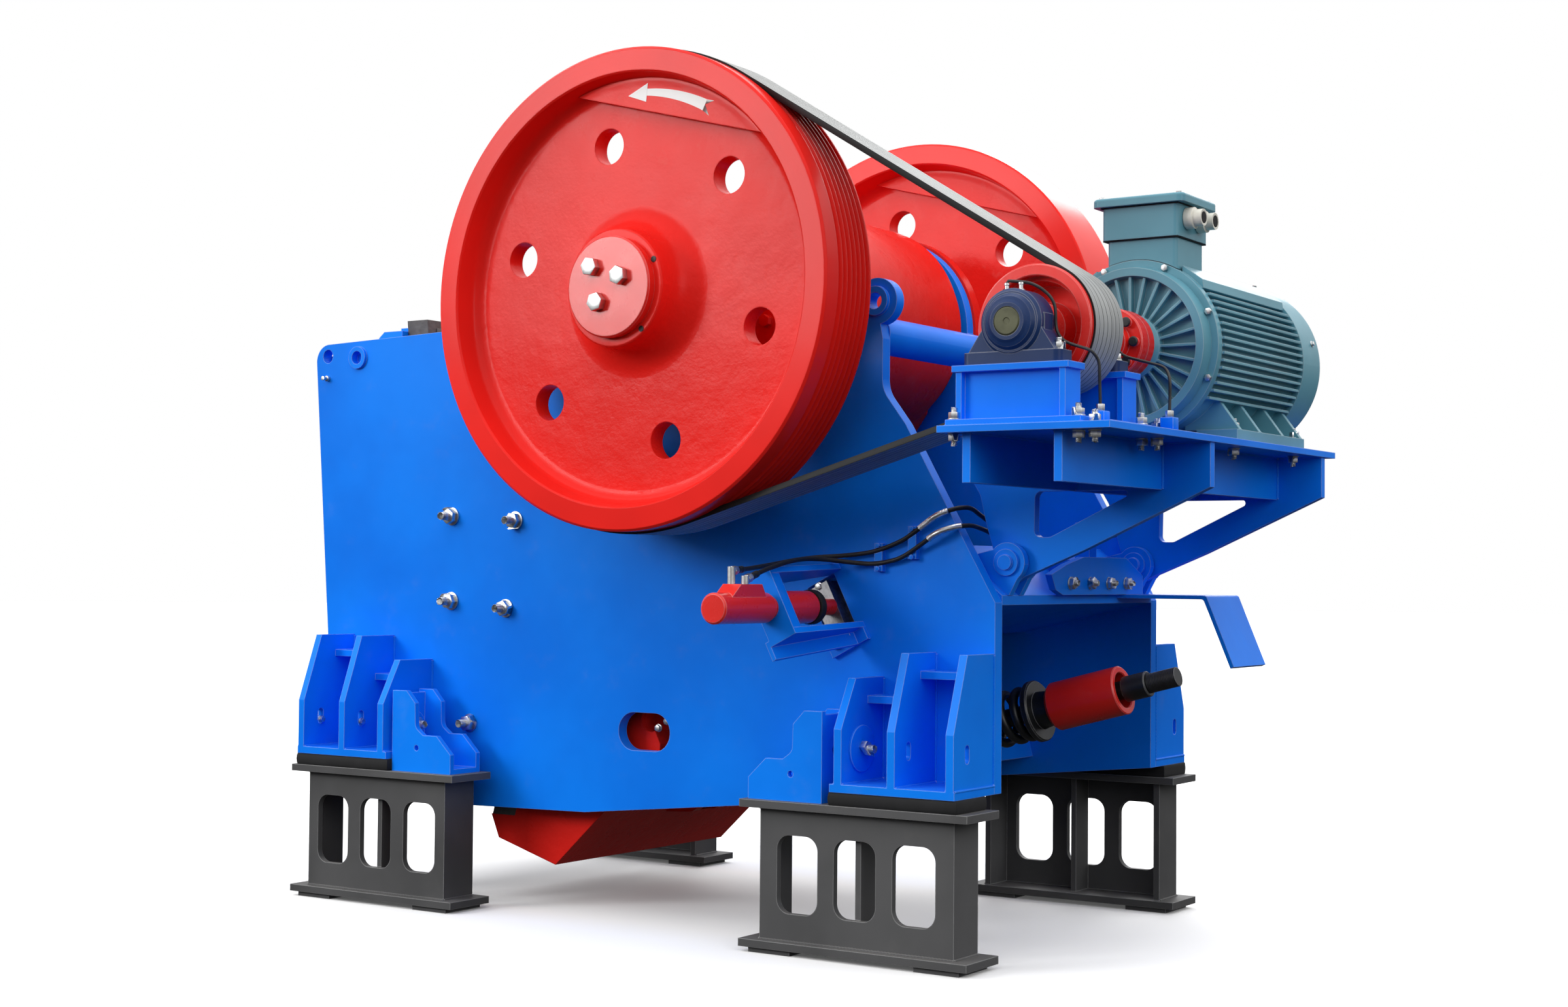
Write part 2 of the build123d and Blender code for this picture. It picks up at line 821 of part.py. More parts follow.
def hinge_lugs():
    """Pairs of lug plates on the rear cover, one pair around each arm."""
    lug = outline(
        (1085, cover_height(1085) - 20),
        (1094, 1378),
        (pivot_x - 42, pivot_z + 46),
        (pivot_x, pivot_z),
        (pivot_x + hinge_lug_radius, pivot_z - 6),
        (plate_rear_x + 6, cover_low_z),
        (plate_rear_x, cover_low_z - 10),
    )
    lug += Pos(pivot_x, pivot_z) * Circle(hinge_lug_radius)
    under_cover = outline(
        (plate_rear_x + 40, cover_low_z - 200),
        (plate_rear_x + 40, cover_low_z),
        (plate_rear_x, cover_low_z),
        (beam_top_rear_x, beam_top_z),
        (beam_top_rear_x - 200, beam_top_z),
        (beam_top_rear_x - 200, cover_low_z - 200),
    )
    lug -= under_cover
    lug -= Pos(pivot_x, pivot_z) * Circle(pin_radius + pin_gap)
    gap = arm_thickness / 2 + hinge_side_gap
    shapes = []
    for centre in (-arm_centre_y, arm_centre_y):
        shapes.append(slab_xz(lug, centre - gap - hinge_lug_thickness, centre - gap))
        shapes.append(slab_xz(lug, centre + gap, centre + gap + hinge_lug_thickness))
    return shapes


def hinge_pins():
    reach = arm_thickness / 2 + hinge_side_gap + hinge_lug_thickness
    shapes = []
    for centre in (-arm_centre_y, arm_centre_y):
        pin = rod_y(pin_radius, centre - reach, centre + reach, pivot_x, pivot_z)
        for end, away in ((centre - reach, -10), (centre + reach, 10)):
            pin += rod_y(pin_head_radius, end, end + away, pivot_x, pivot_z)
            pin += rod_y(pin_radius - 6, end + away, end + 2 * away, pivot_x, pivot_z)
        shapes.append(pin)
    return shapes


def pedestal(near_y):
    """A welded trestle under one jackshaft bearing."""
    low = deck_top + pedestal_plate_thickness
    high = deck_top + pedestal_height
    x0, x1 = drive_x - pedestal_width / 2, drive_x + pedestal_width / 2
    far_y = near_y + pedestal_depth
    shape = block((x0, x1), (near_y, far_y), (high - 20, high))
    for x in (x0 + 12, x1 - 32):
        shape += block((x, x + 20), (near_y + 6, far_y - 6), (low, high - 20))
    web_y = near_y + 38
    shape += block((x0 + 32, x1 - 32), (web_y - 8, web_y + 8), (low, high - 20))
    shape += block((x0 + 32, x1 - 32), (far_y - 38 - 8, far_y - 38 + 8), (low, high - 20))
    return shape


def bearing_pedestals():
    """Two trestles on one base plate that can slide on the deck."""
    x0, x1 = drive_x - pedestal_width / 2, drive_x + pedestal_width / 2 + 50
    far_y = inner_pedestal_y + pedestal_depth
    y_range = (near_pedestal_y - 18, far_y + 18)
    base = block((x0 - 12, x1), y_range, (deck_top, deck_top + pedestal_plate_thickness))
    return base + pedestal(near_pedestal_y) + pedestal(inner_pedestal_y)


def pillow_block(near_y):
    """A split bearing block with its axis on the jackshaft."""
    far_y = near_y + pedestal_depth
    seat_z = deck_top + pedestal_height
    half = pillow_base_half_length
    base_top = seat_z + pillow_base_height
    base = block((drive_x - half, drive_x + half), (near_y + 8, far_y - 8), (seat_z, base_top))
    base = fillet(base.edges().filter_by(Axis.Z), 22)
    neck = outline(
        (drive_x - half + 20, seat_z + pillow_base_height),
        (drive_x + half - 20, seat_z + pillow_base_height),
        (drive_x + pillow_radius - 2, drive_z - 20),
        (drive_x + pillow_radius, drive_z),
        (drive_x - pillow_radius, drive_z),
        (drive_x - pillow_radius + 2, drive_z - 20),
    )
    shape = base + slab_xz(neck, near_y + 14, far_y - 14)
    barrel = turned((
        (0, near_y + 4),
        (pillow_radius - 10, near_y + 4),
        (pillow_radius, near_y + 14),
        (pillow_radius, far_y - 14),
        (pillow_radius - 10, far_y - 4),
        (0, far_y - 4),
    ), drive_x, drive_z)
    shape += barrel
    for x in (drive_x - pillow_radius - 2, drive_x + pillow_radius - 40):
        shape += block((x, x + 42), (near_y + 30, far_y - 30), (drive_z - 26, drive_z + 26))
    return shape - rod_y(jackshaft_radius + running_gap, near_y - 10, far_y + 10, drive_x, drive_z)


def pillow_blocks():
    """The near block has a stepped cover on its outer end, with the shaft's end showing."""
    near = pillow_block(near_pedestal_y)
    y = near_pedestal_y + 4
    bore = jackshaft_radius + running_gap
    cover = turned((
        (bore, y - 22),
        (bore + 12, y - 22),
        (bore + 22, y - 16),
        (pillow_radius - 26, y - 12),
        (pillow_radius - 16, y),
        (bore, y),
    ), drive_x, drive_z)
    return [near + cover, pillow_block(inner_pedestal_y)]


def motor_frame():
    """The finned barrel with its end ring, its top ledges and its feet."""
    front, rear = motor_body_front_y, motor_body_rear_y
    body = rod_y(motor_radius, front, rear, drive_x, drive_z)
    ring_end = front + motor_ring_width
    body += rod_y(motor_radius + motor_ring_rise, front, ring_end, drive_x, drive_z)
    middle = (motor_fin_count - 1) / 2
    for side in (-1, 1):
        for index in range(motor_fin_count):
            z = drive_z + (index - middle) * motor_fin_pitch
            reach = ((motor_radius + motor_fin_height) ** 2 - (z - drive_z) ** 2) ** 0.5
            half = motor_fin_thickness / 2
            root_x, tip_x = drive_x + side * 120, drive_x + side * reach
            body += block((root_x, tip_x), (ring_end, rear - 4), (z - half, z + half))
        ledge = outline(
            (drive_x + side * 158, drive_z + 200),
            (drive_x + side * 236, drive_z + 196),
            (drive_x + side * 232, drive_z + 226),
            (drive_x + side * 158, drive_z + 278),
        )
        body += slab_xz(ledge, ring_end, rear)
        x0, x1 = drive_x + side * 170, drive_x + side * motor_foot_half_width
        foot_top = deck_top + motor_foot_height
        body += block((x0, x1), (motor_foot_front_y, motor_foot_rear_y), (deck_top, foot_top))
        rib = outline(
            (drive_x + side * 120, foot_top),
            (x1, foot_top),
            (drive_x + side * 225, drive_z - 150),
            (drive_x + side * 120, drive_z - 150),
        )
        first_rib, last_rib = motor_foot_front_y + 20, motor_foot_rear_y - 42
        for y in (first_rib, first_rib + 180, last_rib - 180, last_rib):
            body += slab_xz(rib, y, y + 22)
    return body


def motor_end_shield():
    """The drive-end shield: a recessed ring with radial ribs round a bearing nose."""
    bore = jackshaft_radius + 2
    recess = motor_front_y + 34
    ring = turned((
        (bore, motor_front_y - 12),
        (shield_nose_radius - 17, motor_front_y - 12),
        (shield_nose_radius, motor_front_y + 2),
        (shield_nose_radius, recess),
        (shield_recess_radius, recess),
        (shield_recess_radius + 6, motor_front_y),
        (motor_flange_radius, motor_front_y),
        (motor_flange_radius + 8, motor_body_front_y),
        (bore, motor_body_front_y),
    ), drive_x, drive_z)
    half = shield_rib_thickness / 2
    rib = outline(
        (shield_nose_radius - 6, -half),
        (shield_recess_radius + 3, -half),
        (shield_recess_radius + 3, half),
        (shield_nose_radius - 6, half),
    )
    for index in range(shield_rib_count):
        turn = Rot(Z=index * 360 / shield_rib_count)
        ring += slab_xz(Pos(drive_x, drive_z) * turn * rib, motor_front_y + 8, recess + 1)
    return ring


def fan_cowl():
    radius = motor_cowl_radius
    profile = outline(
        (0, motor_body_rear_y),
        (radius, motor_body_rear_y),
        (radius, motor_rear_y),
        (0, motor_rear_y),
    )
    profile = rounded(profile, [(radius, motor_rear_y)], 55)
    return turned(profile, drive_x, drive_z)


def terminal_box():
    """The cable box on the motor, with a neck, a lid and two glands."""
    x, y = terminal_x, terminal_y
    neck = block((x - 125, x + 130), (y - 115, y + 115), (drive_z + 262, drive_z + 375))
    neck = fillet(neck.edges().filter_by(Axis.Z), 14)
    neck -= rod_y(motor_radius, y - 200, y + 200, drive_x, drive_z)
    ring_radius = motor_radius + motor_ring_rise + terminal_ring_gap
    ring_end = motor_body_front_y + motor_ring_width + terminal_ring_gap
    neck -= rod_y(ring_radius, y - 200, ring_end, drive_x, drive_z)
    box = block((x - 140, x + 140), (y - 128, y + 128), (drive_z + 375, drive_z + 488))
    box = fillet(box.edges().filter_by(Axis.Z), 16)
    lid = block((x - 168, x + 168), (y - 150, y + 150), (drive_z + 488, drive_z + 518))
    lid = fillet(lid.edges().filter_by(Axis.Z), 24)
    shape = neck + box + fillet(lid.edges().group_by(Axis.Z)[-1], 10)
    for shift in (-55, 45):
        shape += rod_x(34, x + 140, x + 162, y + shift, drive_z + 440)
        shape += rod_x(27, x + 162, x + 202, y + shift, drive_z + 440)
    return shape


def belt_outline(lift):
    """The belt's loop round the flywheel and the pulley, this far off both."""
    big = flywheel_radius + lift
    small = pulley_radius + lift
    dx, dz = drive_x, drive_z - shaft_height
    span = hypot(dx, dz)
    lean = asin((big - small) / span)
    along = (dx / span, dz / span)
    across = (-along[1], along[0])
    corners = []
    for side in (1, -1):
        nx = along[0] * sin(lean) + side * across[0] * cos(lean)
        nz = along[1] * sin(lean) + side * across[1] * cos(lean)
        on_wheel = (big * nx, shaft_height + big * nz)
        on_pulley = (drive_x + small * nx, drive_z + small * nz)
        corners.append((on_wheel, on_pulley))
    (b1, s1), (b2, s2) = corners
    shape = outline(b1, s1, s2, b2)
    shape += Pos(0, shaft_height) * Circle(big)
    shape += Pos(drive_x, drive_z) * Circle(small)
    return shape


def groove_start_y():
    """The outer edge of the first belt groove, on the near flywheel."""
    return -flywheel_back - groove_count * groove_pitch - 12


def groove_points(radius):
    """The grooves' profile on a wheel of this radius, from the near side to the far side."""
    slant = (groove_pitch - groove_land - groove_floor) / 2
    points = []
    for index in range(groove_count):
        y = groove_start_y() + index * groove_pitch + groove_land / 2
        points.append((radius, y))
        points.append((radius - groove_depth, y + slant))
        points.append((radius - groove_depth, y + slant + groove_floor))
        points.append((radius, y + 2 * slant + groove_floor))
    return points


def drive_belt():
    shape = belt_outline(belt_lift + belt_thickness) - belt_outline(belt_lift)
    start = groove_start_y() + (groove_count * groove_pitch - belt_width) / 2
    return slab_xz(shape, start, start + belt_width)


def wedge_bracket():
    """The slanted bracket on the near side plate that holds a wedge cylinder."""
    near, wall = -bracket_reach, -plate_outer
    free_front, free_rear = bracket_free_span
    wall_front, wall_rear = bracket_wall_span
    inner = wedge_half_height + opening_side_gap
    outer = inner + bracket_plate
    plate = outline((near, free_front), (near, free_rear), (wall, wall_rear), (wall, wall_front))
    shape = slab_toggle(plate, inner, outer) + slab_toggle(plate, -outer, -inner)
    saddle = slab_xz(on_toggle_box(*saddle_span, -inner, inner), near, near + saddle_plate)
    room = cylinder_neck_radius + running_gap
    saddle -= rod_y(room, near - 10, near + saddle_plate + 10, adjuster_x, adjuster_z)
    shape += saddle
    low = -outer - bracket_flange_depth
    flange = on_toggle_box(free_front, wall_rear, low, -outer)
    shape += slab_xz(flange, wall - bracket_flange_thickness, wall)
    skirt = outline((near, free_front), (near, free_front + 16), (wall, wall_front + 16), (wall, wall_front))
    return shape + slab_toggle(skirt, low, -outer)


def wedge_cylinder():
    """The near hydraulic cylinder, along Y, with its port block, its seal and its rod."""
    end, head, seal = -cylinder_reach, -cylinder_head_y, -cylinder_seal_y
    x, z = adjuster_x, adjuster_z
    r = cylinder_radius
    saddle_back = -bracket_reach + saddle_plate
    shape = turned((
        (0, end),
        (r - 6, end),
        (r, end + 6),
        (r, -cylinder_shoulder_y - 8),
        (r - 8, -cylinder_shoulder_y),
        (cylinder_neck_radius, -cylinder_shoulder_y),
        (cylinder_neck_radius, saddle_back),
        (cylinder_rear_radius, saddle_back),
        (cylinder_rear_radius, head - 12),
        (cylinder_rear_radius - 6, head),
        (cylinder_seal_radius, head),
        (cylinder_seal_radius, seal),
        (piston_radius, seal),
        (piston_radius, -plate_outer - wedge_proud),
        (0, -plate_outer - wedge_proud),
    ), x, z)
    low_front, top_front, top_rear, low_rear = (-y for y in port_block_y)
    top = z + port_block_height
    port = outline((low_front, z + 20), (top_front, top), (top_rear, top), (low_rear, z + 20))
    return shape + slab_yz(port, x - port_block_half_width, x + port_block_half_width)


def near_wedge():
    """The near adjusting wedge, thin towards the far side, behind the toggle seat."""
    reach = -plate_outer - wedge_proud
    back = -wedge_half_thickness
    shape = outline(
        (reach, back),
        (wedge_inner_end, back),
        (wedge_inner_end, -wedge_slope * wedge_inner_end),
        (reach, -wedge_slope * reach),
    )
    return slab_toggle(shape, -wedge_half_height, wedge_half_height)


def far_wedge():
    """The far wedge is the near one turned end for end about the cylinder's axis plane."""
    turn = Axis((adjuster_x, 0, adjuster_z), (toggle_across[0], 0, toggle_across[1]))
    return near_wedge().rotate(turn, 180)


# The hoses' routes on the near side. Each starts in the elbow on the port block, passes over the
# bracket, climbs along the side plate, goes over its rear edge and ends at the manifold.
upper_route = (
    (550, -1262, 1314),
    (536, -1130, 1322),
    (516, -970, 1336),
    (512, -830, 1352),
    (548, -740, 1364),
    (640, -690, 1370),
    (760, -684, 1384),
    (870, -684, 1424),
    (938, -687, 1467),
    (1010, -697, 1512),
    (1064, -661, 1534),
    (1085, -600, 1538),
    (1086, -500, 1502),
    (1086, -420, 1478),
    (1086, hose_end_y, 1476),
)
lower_route = (
    (590, -1240, 1284),
    (588, -1120, 1318),
    (584, -980, 1346),
    (580, -860, 1358),
    (606, -760, 1356),
    (668, -700, 1346),
    (760, -686, 1340),
    (860, -686, 1360),
    (938, -696, 1404),
    (1018, -712, 1450),
    (1074, -687, 1470),
    (1104, -630, 1476),
    (1100, -520, 1462),
    (1092, -420, 1440),
    (1092, hose_end_y, 1438),
)


def hose_radii(route):
    """The bend at each inner point of a route, as large as its two runs allow."""
    points = [Vector(*point) for point in route]
    radii = []
    for before, here, after in zip(points, points[1:], points[2:]):
        turn = radians((here - before).get_angle(after - here))
        shorter = min((here - before).length, (after - here).length)
        radii.append(0.45 * shorter / tan(turn / 2))
    return radii


def hose_start(route):
    """Where a hose leaves its elbow, and the direction it leaves in."""
    first, second = Vector(*route[0]), Vector(*route[1])
    direction = (second - first).normalized()
    return first + direction * fitting_length, direction


def hose(route, radius=hose_radius):
    """A round hose along a route of straight runs and tangent bends."""
    points = [hose_start(route)[0]] + [Vector(*point) for point in route[1:]]
    path = FilletPolyline(*points, radius=hose_radii(points))
    section = Plane(origin=path @ 0, z_dir=path % 0) * Circle(radius)
    return sweep(section, path=path)


def near_hoses():
    return [hose(upper_route), hose(lower_route)]


def hose_fittings():
    """The two elbows on the near port block."""
    shapes = []
    for route in (upper_route, lower_route):
        x, y, z = route[0]
        top = adjuster_z + port_block_height
        height = z + fitting_stem_radius - top
        stem = Cylinder(fitting_stem_radius, height, align=(Align.CENTER, Align.CENTER, Align.MIN))
        direction = hose_start(route)[1]
        nut = extrude(Plane(origin=route[0], z_dir=direction) * Circle(fitting_radius), amount=fitting_length)
        shapes.append(Pos(x, y, top) * stem + nut)
    return shapes


def route_height(route, x):
    """The height of a route where it passes an X on its way along the side plate."""
    for (x0, _, z0), (x1, _, z1) in zip(route[4:], route[5:]):
        if x0 <= x <= x1:
            return z0 + (z1 - z0) * (x - x0) / (x1 - x0)
    return route[-1][2]


def hose_clips():
    """Small blocks on the near side plate, each with a round seat for both hoses."""
    shapes = []
    grown = [hose(route, hose_radius + clip_gap) for route in (upper_route, lower_route)]
    for x in clip_xs:
        high = route_height(upper_route, x) + clip_overhang
        low = route_height(lower_route, x) - clip_overhang
        x_range = (x - clip_half_length, x + clip_half_length)
        clip = block(x_range, (-plate_outer - clip_depth, -plate_outer), (low, high))
        for seat in grown:
            clip -= seat
        shapes.append(clip)
    return shapes


def manifold():
    """The near block on the rear cover where the hoses end, with a round port for each."""
    x0, x1 = manifold_x
    y0, y1 = manifold_y
    side = outline(
        (x0, cover_height(x0)),
        (x1, cover_height(x1)),
        (x1, manifold_top_z),
        (x0, manifold_top_z),
    )
    shape = slab_xz(side, y0, y1)
    for route in (upper_route, lower_route):
        x, end, z = route[-1]
        shape += rod_y(fitting_stem_radius, end, y0, x, z)
    return shape


def toggle_seat():
    """The bar that takes the toggle plate's rear end, with a round groove."""
    back = -wedge_half_thickness
    front = back - seat_depth
    shape = on_toggle_box(front, back, -seat_half_height, seat_half_height)
    shape -= Pos(*on_toggle(front, 0)) * Circle(toggle_end_radius + toggle_end_gap)
    return slab_xz(shape, -plate_inner + seat_side_gap, plate_inner - seat_side_gap)


def toggle_ends():
    """Where the toggle plate's rear and front ends turn, along the toggle line."""
    rear = -wedge_half_thickness - seat_depth
    return rear, rear - toggle_length


def toggle_plate():
    """The rigid strut between the rear seat and the swing jaw, with round ends."""
    rear, front = toggle_ends()
    half = toggle_thickness / 2
    shape = on_toggle_box(front, rear, -half, half)
    shape += Pos(*on_toggle(rear, 0)) * Circle(toggle_end_radius)
    shape += Pos(*on_toggle(front, 0)) * Circle(toggle_end_radius)
    return slab_xz(shape, -toggle_half_width, toggle_half_width)


def swing_die_line(offset, z):
    """X of a line parallel to the swing die's face, that far behind it, at a height."""
    lean = (swing_die_top_x - swing_die_bottom_x) / (swing_die_top_z - swing_die_bottom_z)
    x = swing_die_bottom_x + (z - swing_die_bottom_z) * lean
    return x + offset * hypot(1, lean)


def swing_jaw_die():
    low, high = jaw_lip_z, swing_die_top_z
    shape = outline(
        (swing_die_line(0, low), low),
        (swing_die_line(0, high), high),
        (swing_die_line(die_thickness, high), high),
        (swing_die_line(die_thickness, low), low),
    )
    return slab_xz(shape, -jaw_half_width, jaw_half_width)


def jaw_body_outline():
    """The swing jaw's side view: straight behind the die, down to the lip, and back to the hub."""
    front_seat = toggle_ends()[1]
    back = die_thickness
    shape = outline(
        (swing_die_line(back, shaft_height + 34), shaft_height + 34),
        (swing_die_line(back, jaw_lip_z), jaw_lip_z),
        (swing_die_line(-jaw_lip_overhang, jaw_lip_z), jaw_lip_z),
        (-1050, 250),
        (-760, jaw_tip_z),
        (-571, jaw_lip_z),
        on_toggle(front_seat - 20, -135),
        on_toggle(front_seat, -100),
        on_toggle(front_seat, 100),
        (-270, 1250),
        (250, 1960),
        (300, shaft_height),
        (-200, shaft_height + 250),
    )
    return shape - Pos(*on_toggle(front_seat, 0)) * Circle(toggle_end_radius + toggle_end_gap)


def jaw_back_pockets():
    """The hollows between the ribs on the swing jaw's back."""
    front = die_thickness + jaw_front_wall
    low, high = jaw_pocket_bottom_z, jaw_pocket_top_z
    shape = outline(
        (swing_die_line(front, low), low),
        (swing_die_line(front, high), high),
        (60, high),
        (-140, 1180),
        (-400, low),
    )
    pitch = jaw_pocket_width + jaw_rib_thickness
    starts = [(index - 2) * pitch + jaw_rib_thickness / 2 for index in range(4)]
    return [slab_xz(shape, y, y + jaw_pocket_width) for y in starts]


def swing_jaw():
    """The cast swing jaw: the hub round the shaft, the ribbed body, and lugs for the tension rod."""
    shape = slab_xz(jaw_body_outline(), -jaw_half_width, jaw_half_width)
    end, barrel = hub_half_width, hub_barrel_half_width
    hub = outline(
        (0, -end),
        (hub_end_radius, -end),
        (hub_end_radius, -barrel - 8),
        (hub_radius, -barrel + 24),
        (hub_radius, barrel - 24),
        (hub_end_radius, barrel + 8),
        (hub_end_radius, end),
        (0, end),
    )
    shape += turned(hub)
    for pocket in jaw_back_pockets():
        shape -= pocket
    x, z = on_rod(rod_front, 0)
    lug = outline((x, z - rod_lug_radius), (-640, jaw_lip_z), (-560, 520), (x + 30, z + 54))
    lug += Pos(x, z) * Circle(rod_lug_radius)
    shape += slab_xz(lug, -rod_lug_gap - rod_lug_thickness, rod_lug_gap + rod_lug_thickness)
    eye_room = slab_xz(Pos(x, z) * Circle(rod_eye_radius + 12), -rod_lug_gap, rod_lug_gap)
    way_out = outline(
        on_rod(rod_front, -rod_room),
        on_rod(rod_front + 300, -rod_room),
        on_rod(rod_front + 300, rod_room),
        on_rod(rod_front, rod_room),
    )
    shape -= eye_room + slab_xz(way_out, -rod_lug_gap, rod_lug_gap)
    shape += rod_y(rod_pin_radius, -rod_lug_gap - 2, rod_lug_gap + 2, x, z)
    shape -= swing_jaw_die()
    return shape - rod_y(shaft_radius + running_gap, -end - 5, end + 5, 0, shaft_height)


def spring_seat_beam():
    """The cross bar that the spring pushes on and the tension rod passes through."""
    low, high = spring_front - spring_bar_thickness, spring_front
    half = spring_bar_half_height
    bar = outline(on_rod(low, -half), on_rod(high, -half), on_rod(high, half), on_rod(low, half))
    shape = slab_xz(bar, -plate_inner, plate_inner)
    bore = rod_radius + rod_guide_gap
    return shape - rod_turned(((0, low - 30), (bore, low - 30), (bore, high + 30), (0, high + 30)))


def tension_spring():
    """The black coil spring on the tension rod."""
    length = spring_rear - spring_front - 2 * spring_wire_radius - 1
    mean = spring_outer_radius - spring_wire_radius
    path = Helix(pitch=length / spring_turns, height=length, radius=mean)
    section = Plane(origin=path @ 0, z_dir=path % 0) * Circle(spring_wire_radius)
    coil = sweep(section, path=path, is_frenet=True)
    x, z = on_rod(spring_front + spring_wire_radius + 0.5, 0)
    return Pos(x, 0, z) * Rot(Y=90 - rod_slope) * coil


def tension_rod():
    """The rod with its pin eye, the spring's end disc and the dark collar."""
    r = rod_radius
    profile = (
        (0, rod_front + 20),
        (r, rod_front + 20),
        (r, spring_rear),
        (disc_radius - 5, spring_rear),
        (disc_radius, spring_rear + 5),
        (disc_radius, spring_rear + disc_thickness - 5),
        (disc_radius - 5, spring_rear + disc_thickness),
        (70, spring_rear + disc_thickness),
        (62, sleeve_front),
        (r, sleeve_front),
        (r, rod_end),
        (0, rod_end),
    )
    x, z = on_rod(rod_front, 0)
    shape = rod_turned(profile)
    shape += rod_y(rod_eye_radius, -rod_eye_half_width, rod_eye_half_width, x, z)
    return shape - rod_y(rod_pin_radius + running_gap, -rod_lug_gap, rod_lug_gap, x, z)


def tension_sleeve():
    """The red sleeve behind the spring, open at its rear end."""
    r = sleeve_radius
    return rod_turned((
        (rod_radius, sleeve_front),
        (r - 10, sleeve_front),
        (r, sleeve_front + 12),
        (r, sleeve_rear - 4),
        (r - 4, sleeve_rear),
        (r - sleeve_wall + 4, sleeve_rear),
        (r - sleeve_wall, sleeve_rear - 4),
        (r - sleeve_wall, sleeve_rear - sleeve_depth),
        (rod_radius, sleeve_rear - sleeve_depth),
    ))


def rear_guard():
    """The bent plate that hangs behind the beam."""
    t = guard_thickness
    low = cover_low_z - t
    path = outline(
        (plate_rear_x, low),
        (1560, low),
        (1665, 975),
        (1679, 981),
        (1571, cover_low_z),
        (plate_rear_x, cover_low_z),
    )
    return slab_xz(rounded(path, [(1560, low), (1571, cover_low_z)], 14), 300, 610)


def main_shaft():
    return rod_y(shaft_radius, -shaft_end, shaft_end, 0, shaft_height)


def flywheel_section(grooved):
    """Half of the flywheel's section, as a flat shape in radius and Y on the near side."""
    face, back = -flywheel_face, -flywheel_back
    web_face = face + flywheel_web_inset
    web_back = web_face + flywheel_web_thickness
    rim_inner = flywheel_radius - flywheel_rim_depth
    web_end = rim_inner - flywheel_rim_draft
    hub_face = face - flywheel_hub_proud
    points = [
        (shaft_radius, hub_face),
        (flywheel_hub_radius - 5, hub_face),
        (flywheel_hub_radius, hub_face + 5),
        (flywheel_hub_radius + 8, web_face),
        (web_end, web_face),
        (rim_inner, face + 6),
        (rim_inner + 6, face),
        (flywheel_radius - 8, face),
        (flywheel_radius, face + 8),
    ]
    if grooved:
        points += groove_points(flywheel_radius)
    points += [
        (flywheel_radius, back - 6),
        (flywheel_radius - 6, back),
        (rim_inner + 6, back),
        (rim_inner, back - 6),
        (web_end, web_back),
        (flywheel_hub_radius, web_back),
        (flywheel_hub_radius - 20, back),
        (shaft_radius, back),
    ]
    section = outline(*points)
    section = rounded(section, [(flywheel_hub_radius + 8, web_face)], hub_fillet)
    inner_corners = [(web_end, web_face), (web_end, web_back), (flywheel_hub_radius, web_back)]
    return rounded(section, inner_corners, rim_fillet)


def counterweight():
    """The segment above a tilted chord, inside the flywheel's rim."""
    rim_inner = flywheel_radius - flywheel_rim_depth
    segment = Circle(rim_inner - flywheel_rim_draft + 8)
    wheel_width = 2 * flywheel_radius
    segment -= Pos(0, counterweight_chord - flywheel_radius) * Rectangle(wheel_width, wheel_width)
    return Pos(0, shaft_height) * Rot(Z=-counterweight_turn) * segment


def flywheel(grooved):
    """The near flywheel, with round holes in its web and counterweights at the top."""
    wheel = turned(flywheel_section(grooved))
    web_face = -flywheel_face + flywheel_web_inset
    web_back = web_face + flywheel_web_thickness
    wheel += slab_xz(counterweight(), web_face - counterweight_proud, web_face + 1)
    wheel += slab_xz(counterweight(), web_back - 1, web_back + counterweight_proud)
    for index in range(web_hole_count):
        angle = radians(web_hole_turn + index * 360 / web_hole_count)
        x = web_hole_circle * cos(angle)
        z = shaft_height + web_hole_circle * sin(angle)
        wheel -= rod_y(web_hole_radius, -flywheel_face, -flywheel_back, x, z)
    return wheel


def shaft_cap():
    end = -shaft_end
    r, t = shaft_cap_radius, shaft_cap_thickness
    return turned(((0, end - t), (r - 6, end - t), (r, end - t + 6), (r, end), (0, end)))


def belt_pulley():
    """The grooved pulley, deeply dished towards the near bearing."""
    near = groove_start_y() + groove_count * groove_pitch / 2 - pulley_width / 2
    far = near + pulley_width
    inner = pulley_radius - pulley_rim
    points = [
        (jackshaft_radius, near + 60),
        (80, near + 60),
        (88, near + 120),
        (inner - 22, near + 110),
        (inner - 12, near + 40),
        (inner, near + 36),
        (inner, near + 4),
        (inner + 4, near),
        (pulley_radius - 4, near),
        (pulley_radius, near + 4),
    ]
    points += groove_points(pulley_radius)
    points += [
        (pulley_radius, far - 4),
        (pulley_radius - 4, far),
        (inner, far),
        (inner - 10, near + 150),
        (88, near + 150),
        (80, far - 20),
        (jackshaft_radius, far - 20),
    ]
    return turned(points, drive_x, drive_z)


def jackshaft():
    near = near_pedestal_y - 6
    return rod_y(jackshaft_radius, near, motor_body_front_y - 2, drive_x, drive_z)


def shaft_coupling():
    """Two flange halves, joined by pins with round heads."""
    r = coupling_radius
    middle = (coupling_front_y + coupling_rear_y) / 2
    halves = turned((
        (jackshaft_radius, coupling_front_y - 28),
        (68, coupling_front_y - 28),
        (72, coupling_front_y),
        (r - 4, coupling_front_y),
        (r, coupling_front_y + 4),
        (r, middle - 3),
        (r - 20, middle - 3),
        (r - 20, middle + 3),
        (r, middle + 3),
        (r, coupling_rear_y - 4),
        (r - 4, coupling_rear_y),
        (jackshaft_radius, coupling_rear_y),
    ), drive_x, drive_z)
    for index in range(coupling_pin_count):
        angle = radians(index * 360 / coupling_pin_count)
        x = drive_x + coupling_pin_circle * cos(angle)
        z = drive_z + coupling_pin_circle * sin(angle)
        halves += rod_y(14, coupling_front_y - 16, coupling_front_y, x, z)
    return halves


def lifted(solid):
    """A piece of the machine, lifted from its drawing height onto its stands."""
    return Pos(0, 0, lift_onto_stands) * solid


def both_sides(solid):
    return [solid, other_side(solid)]


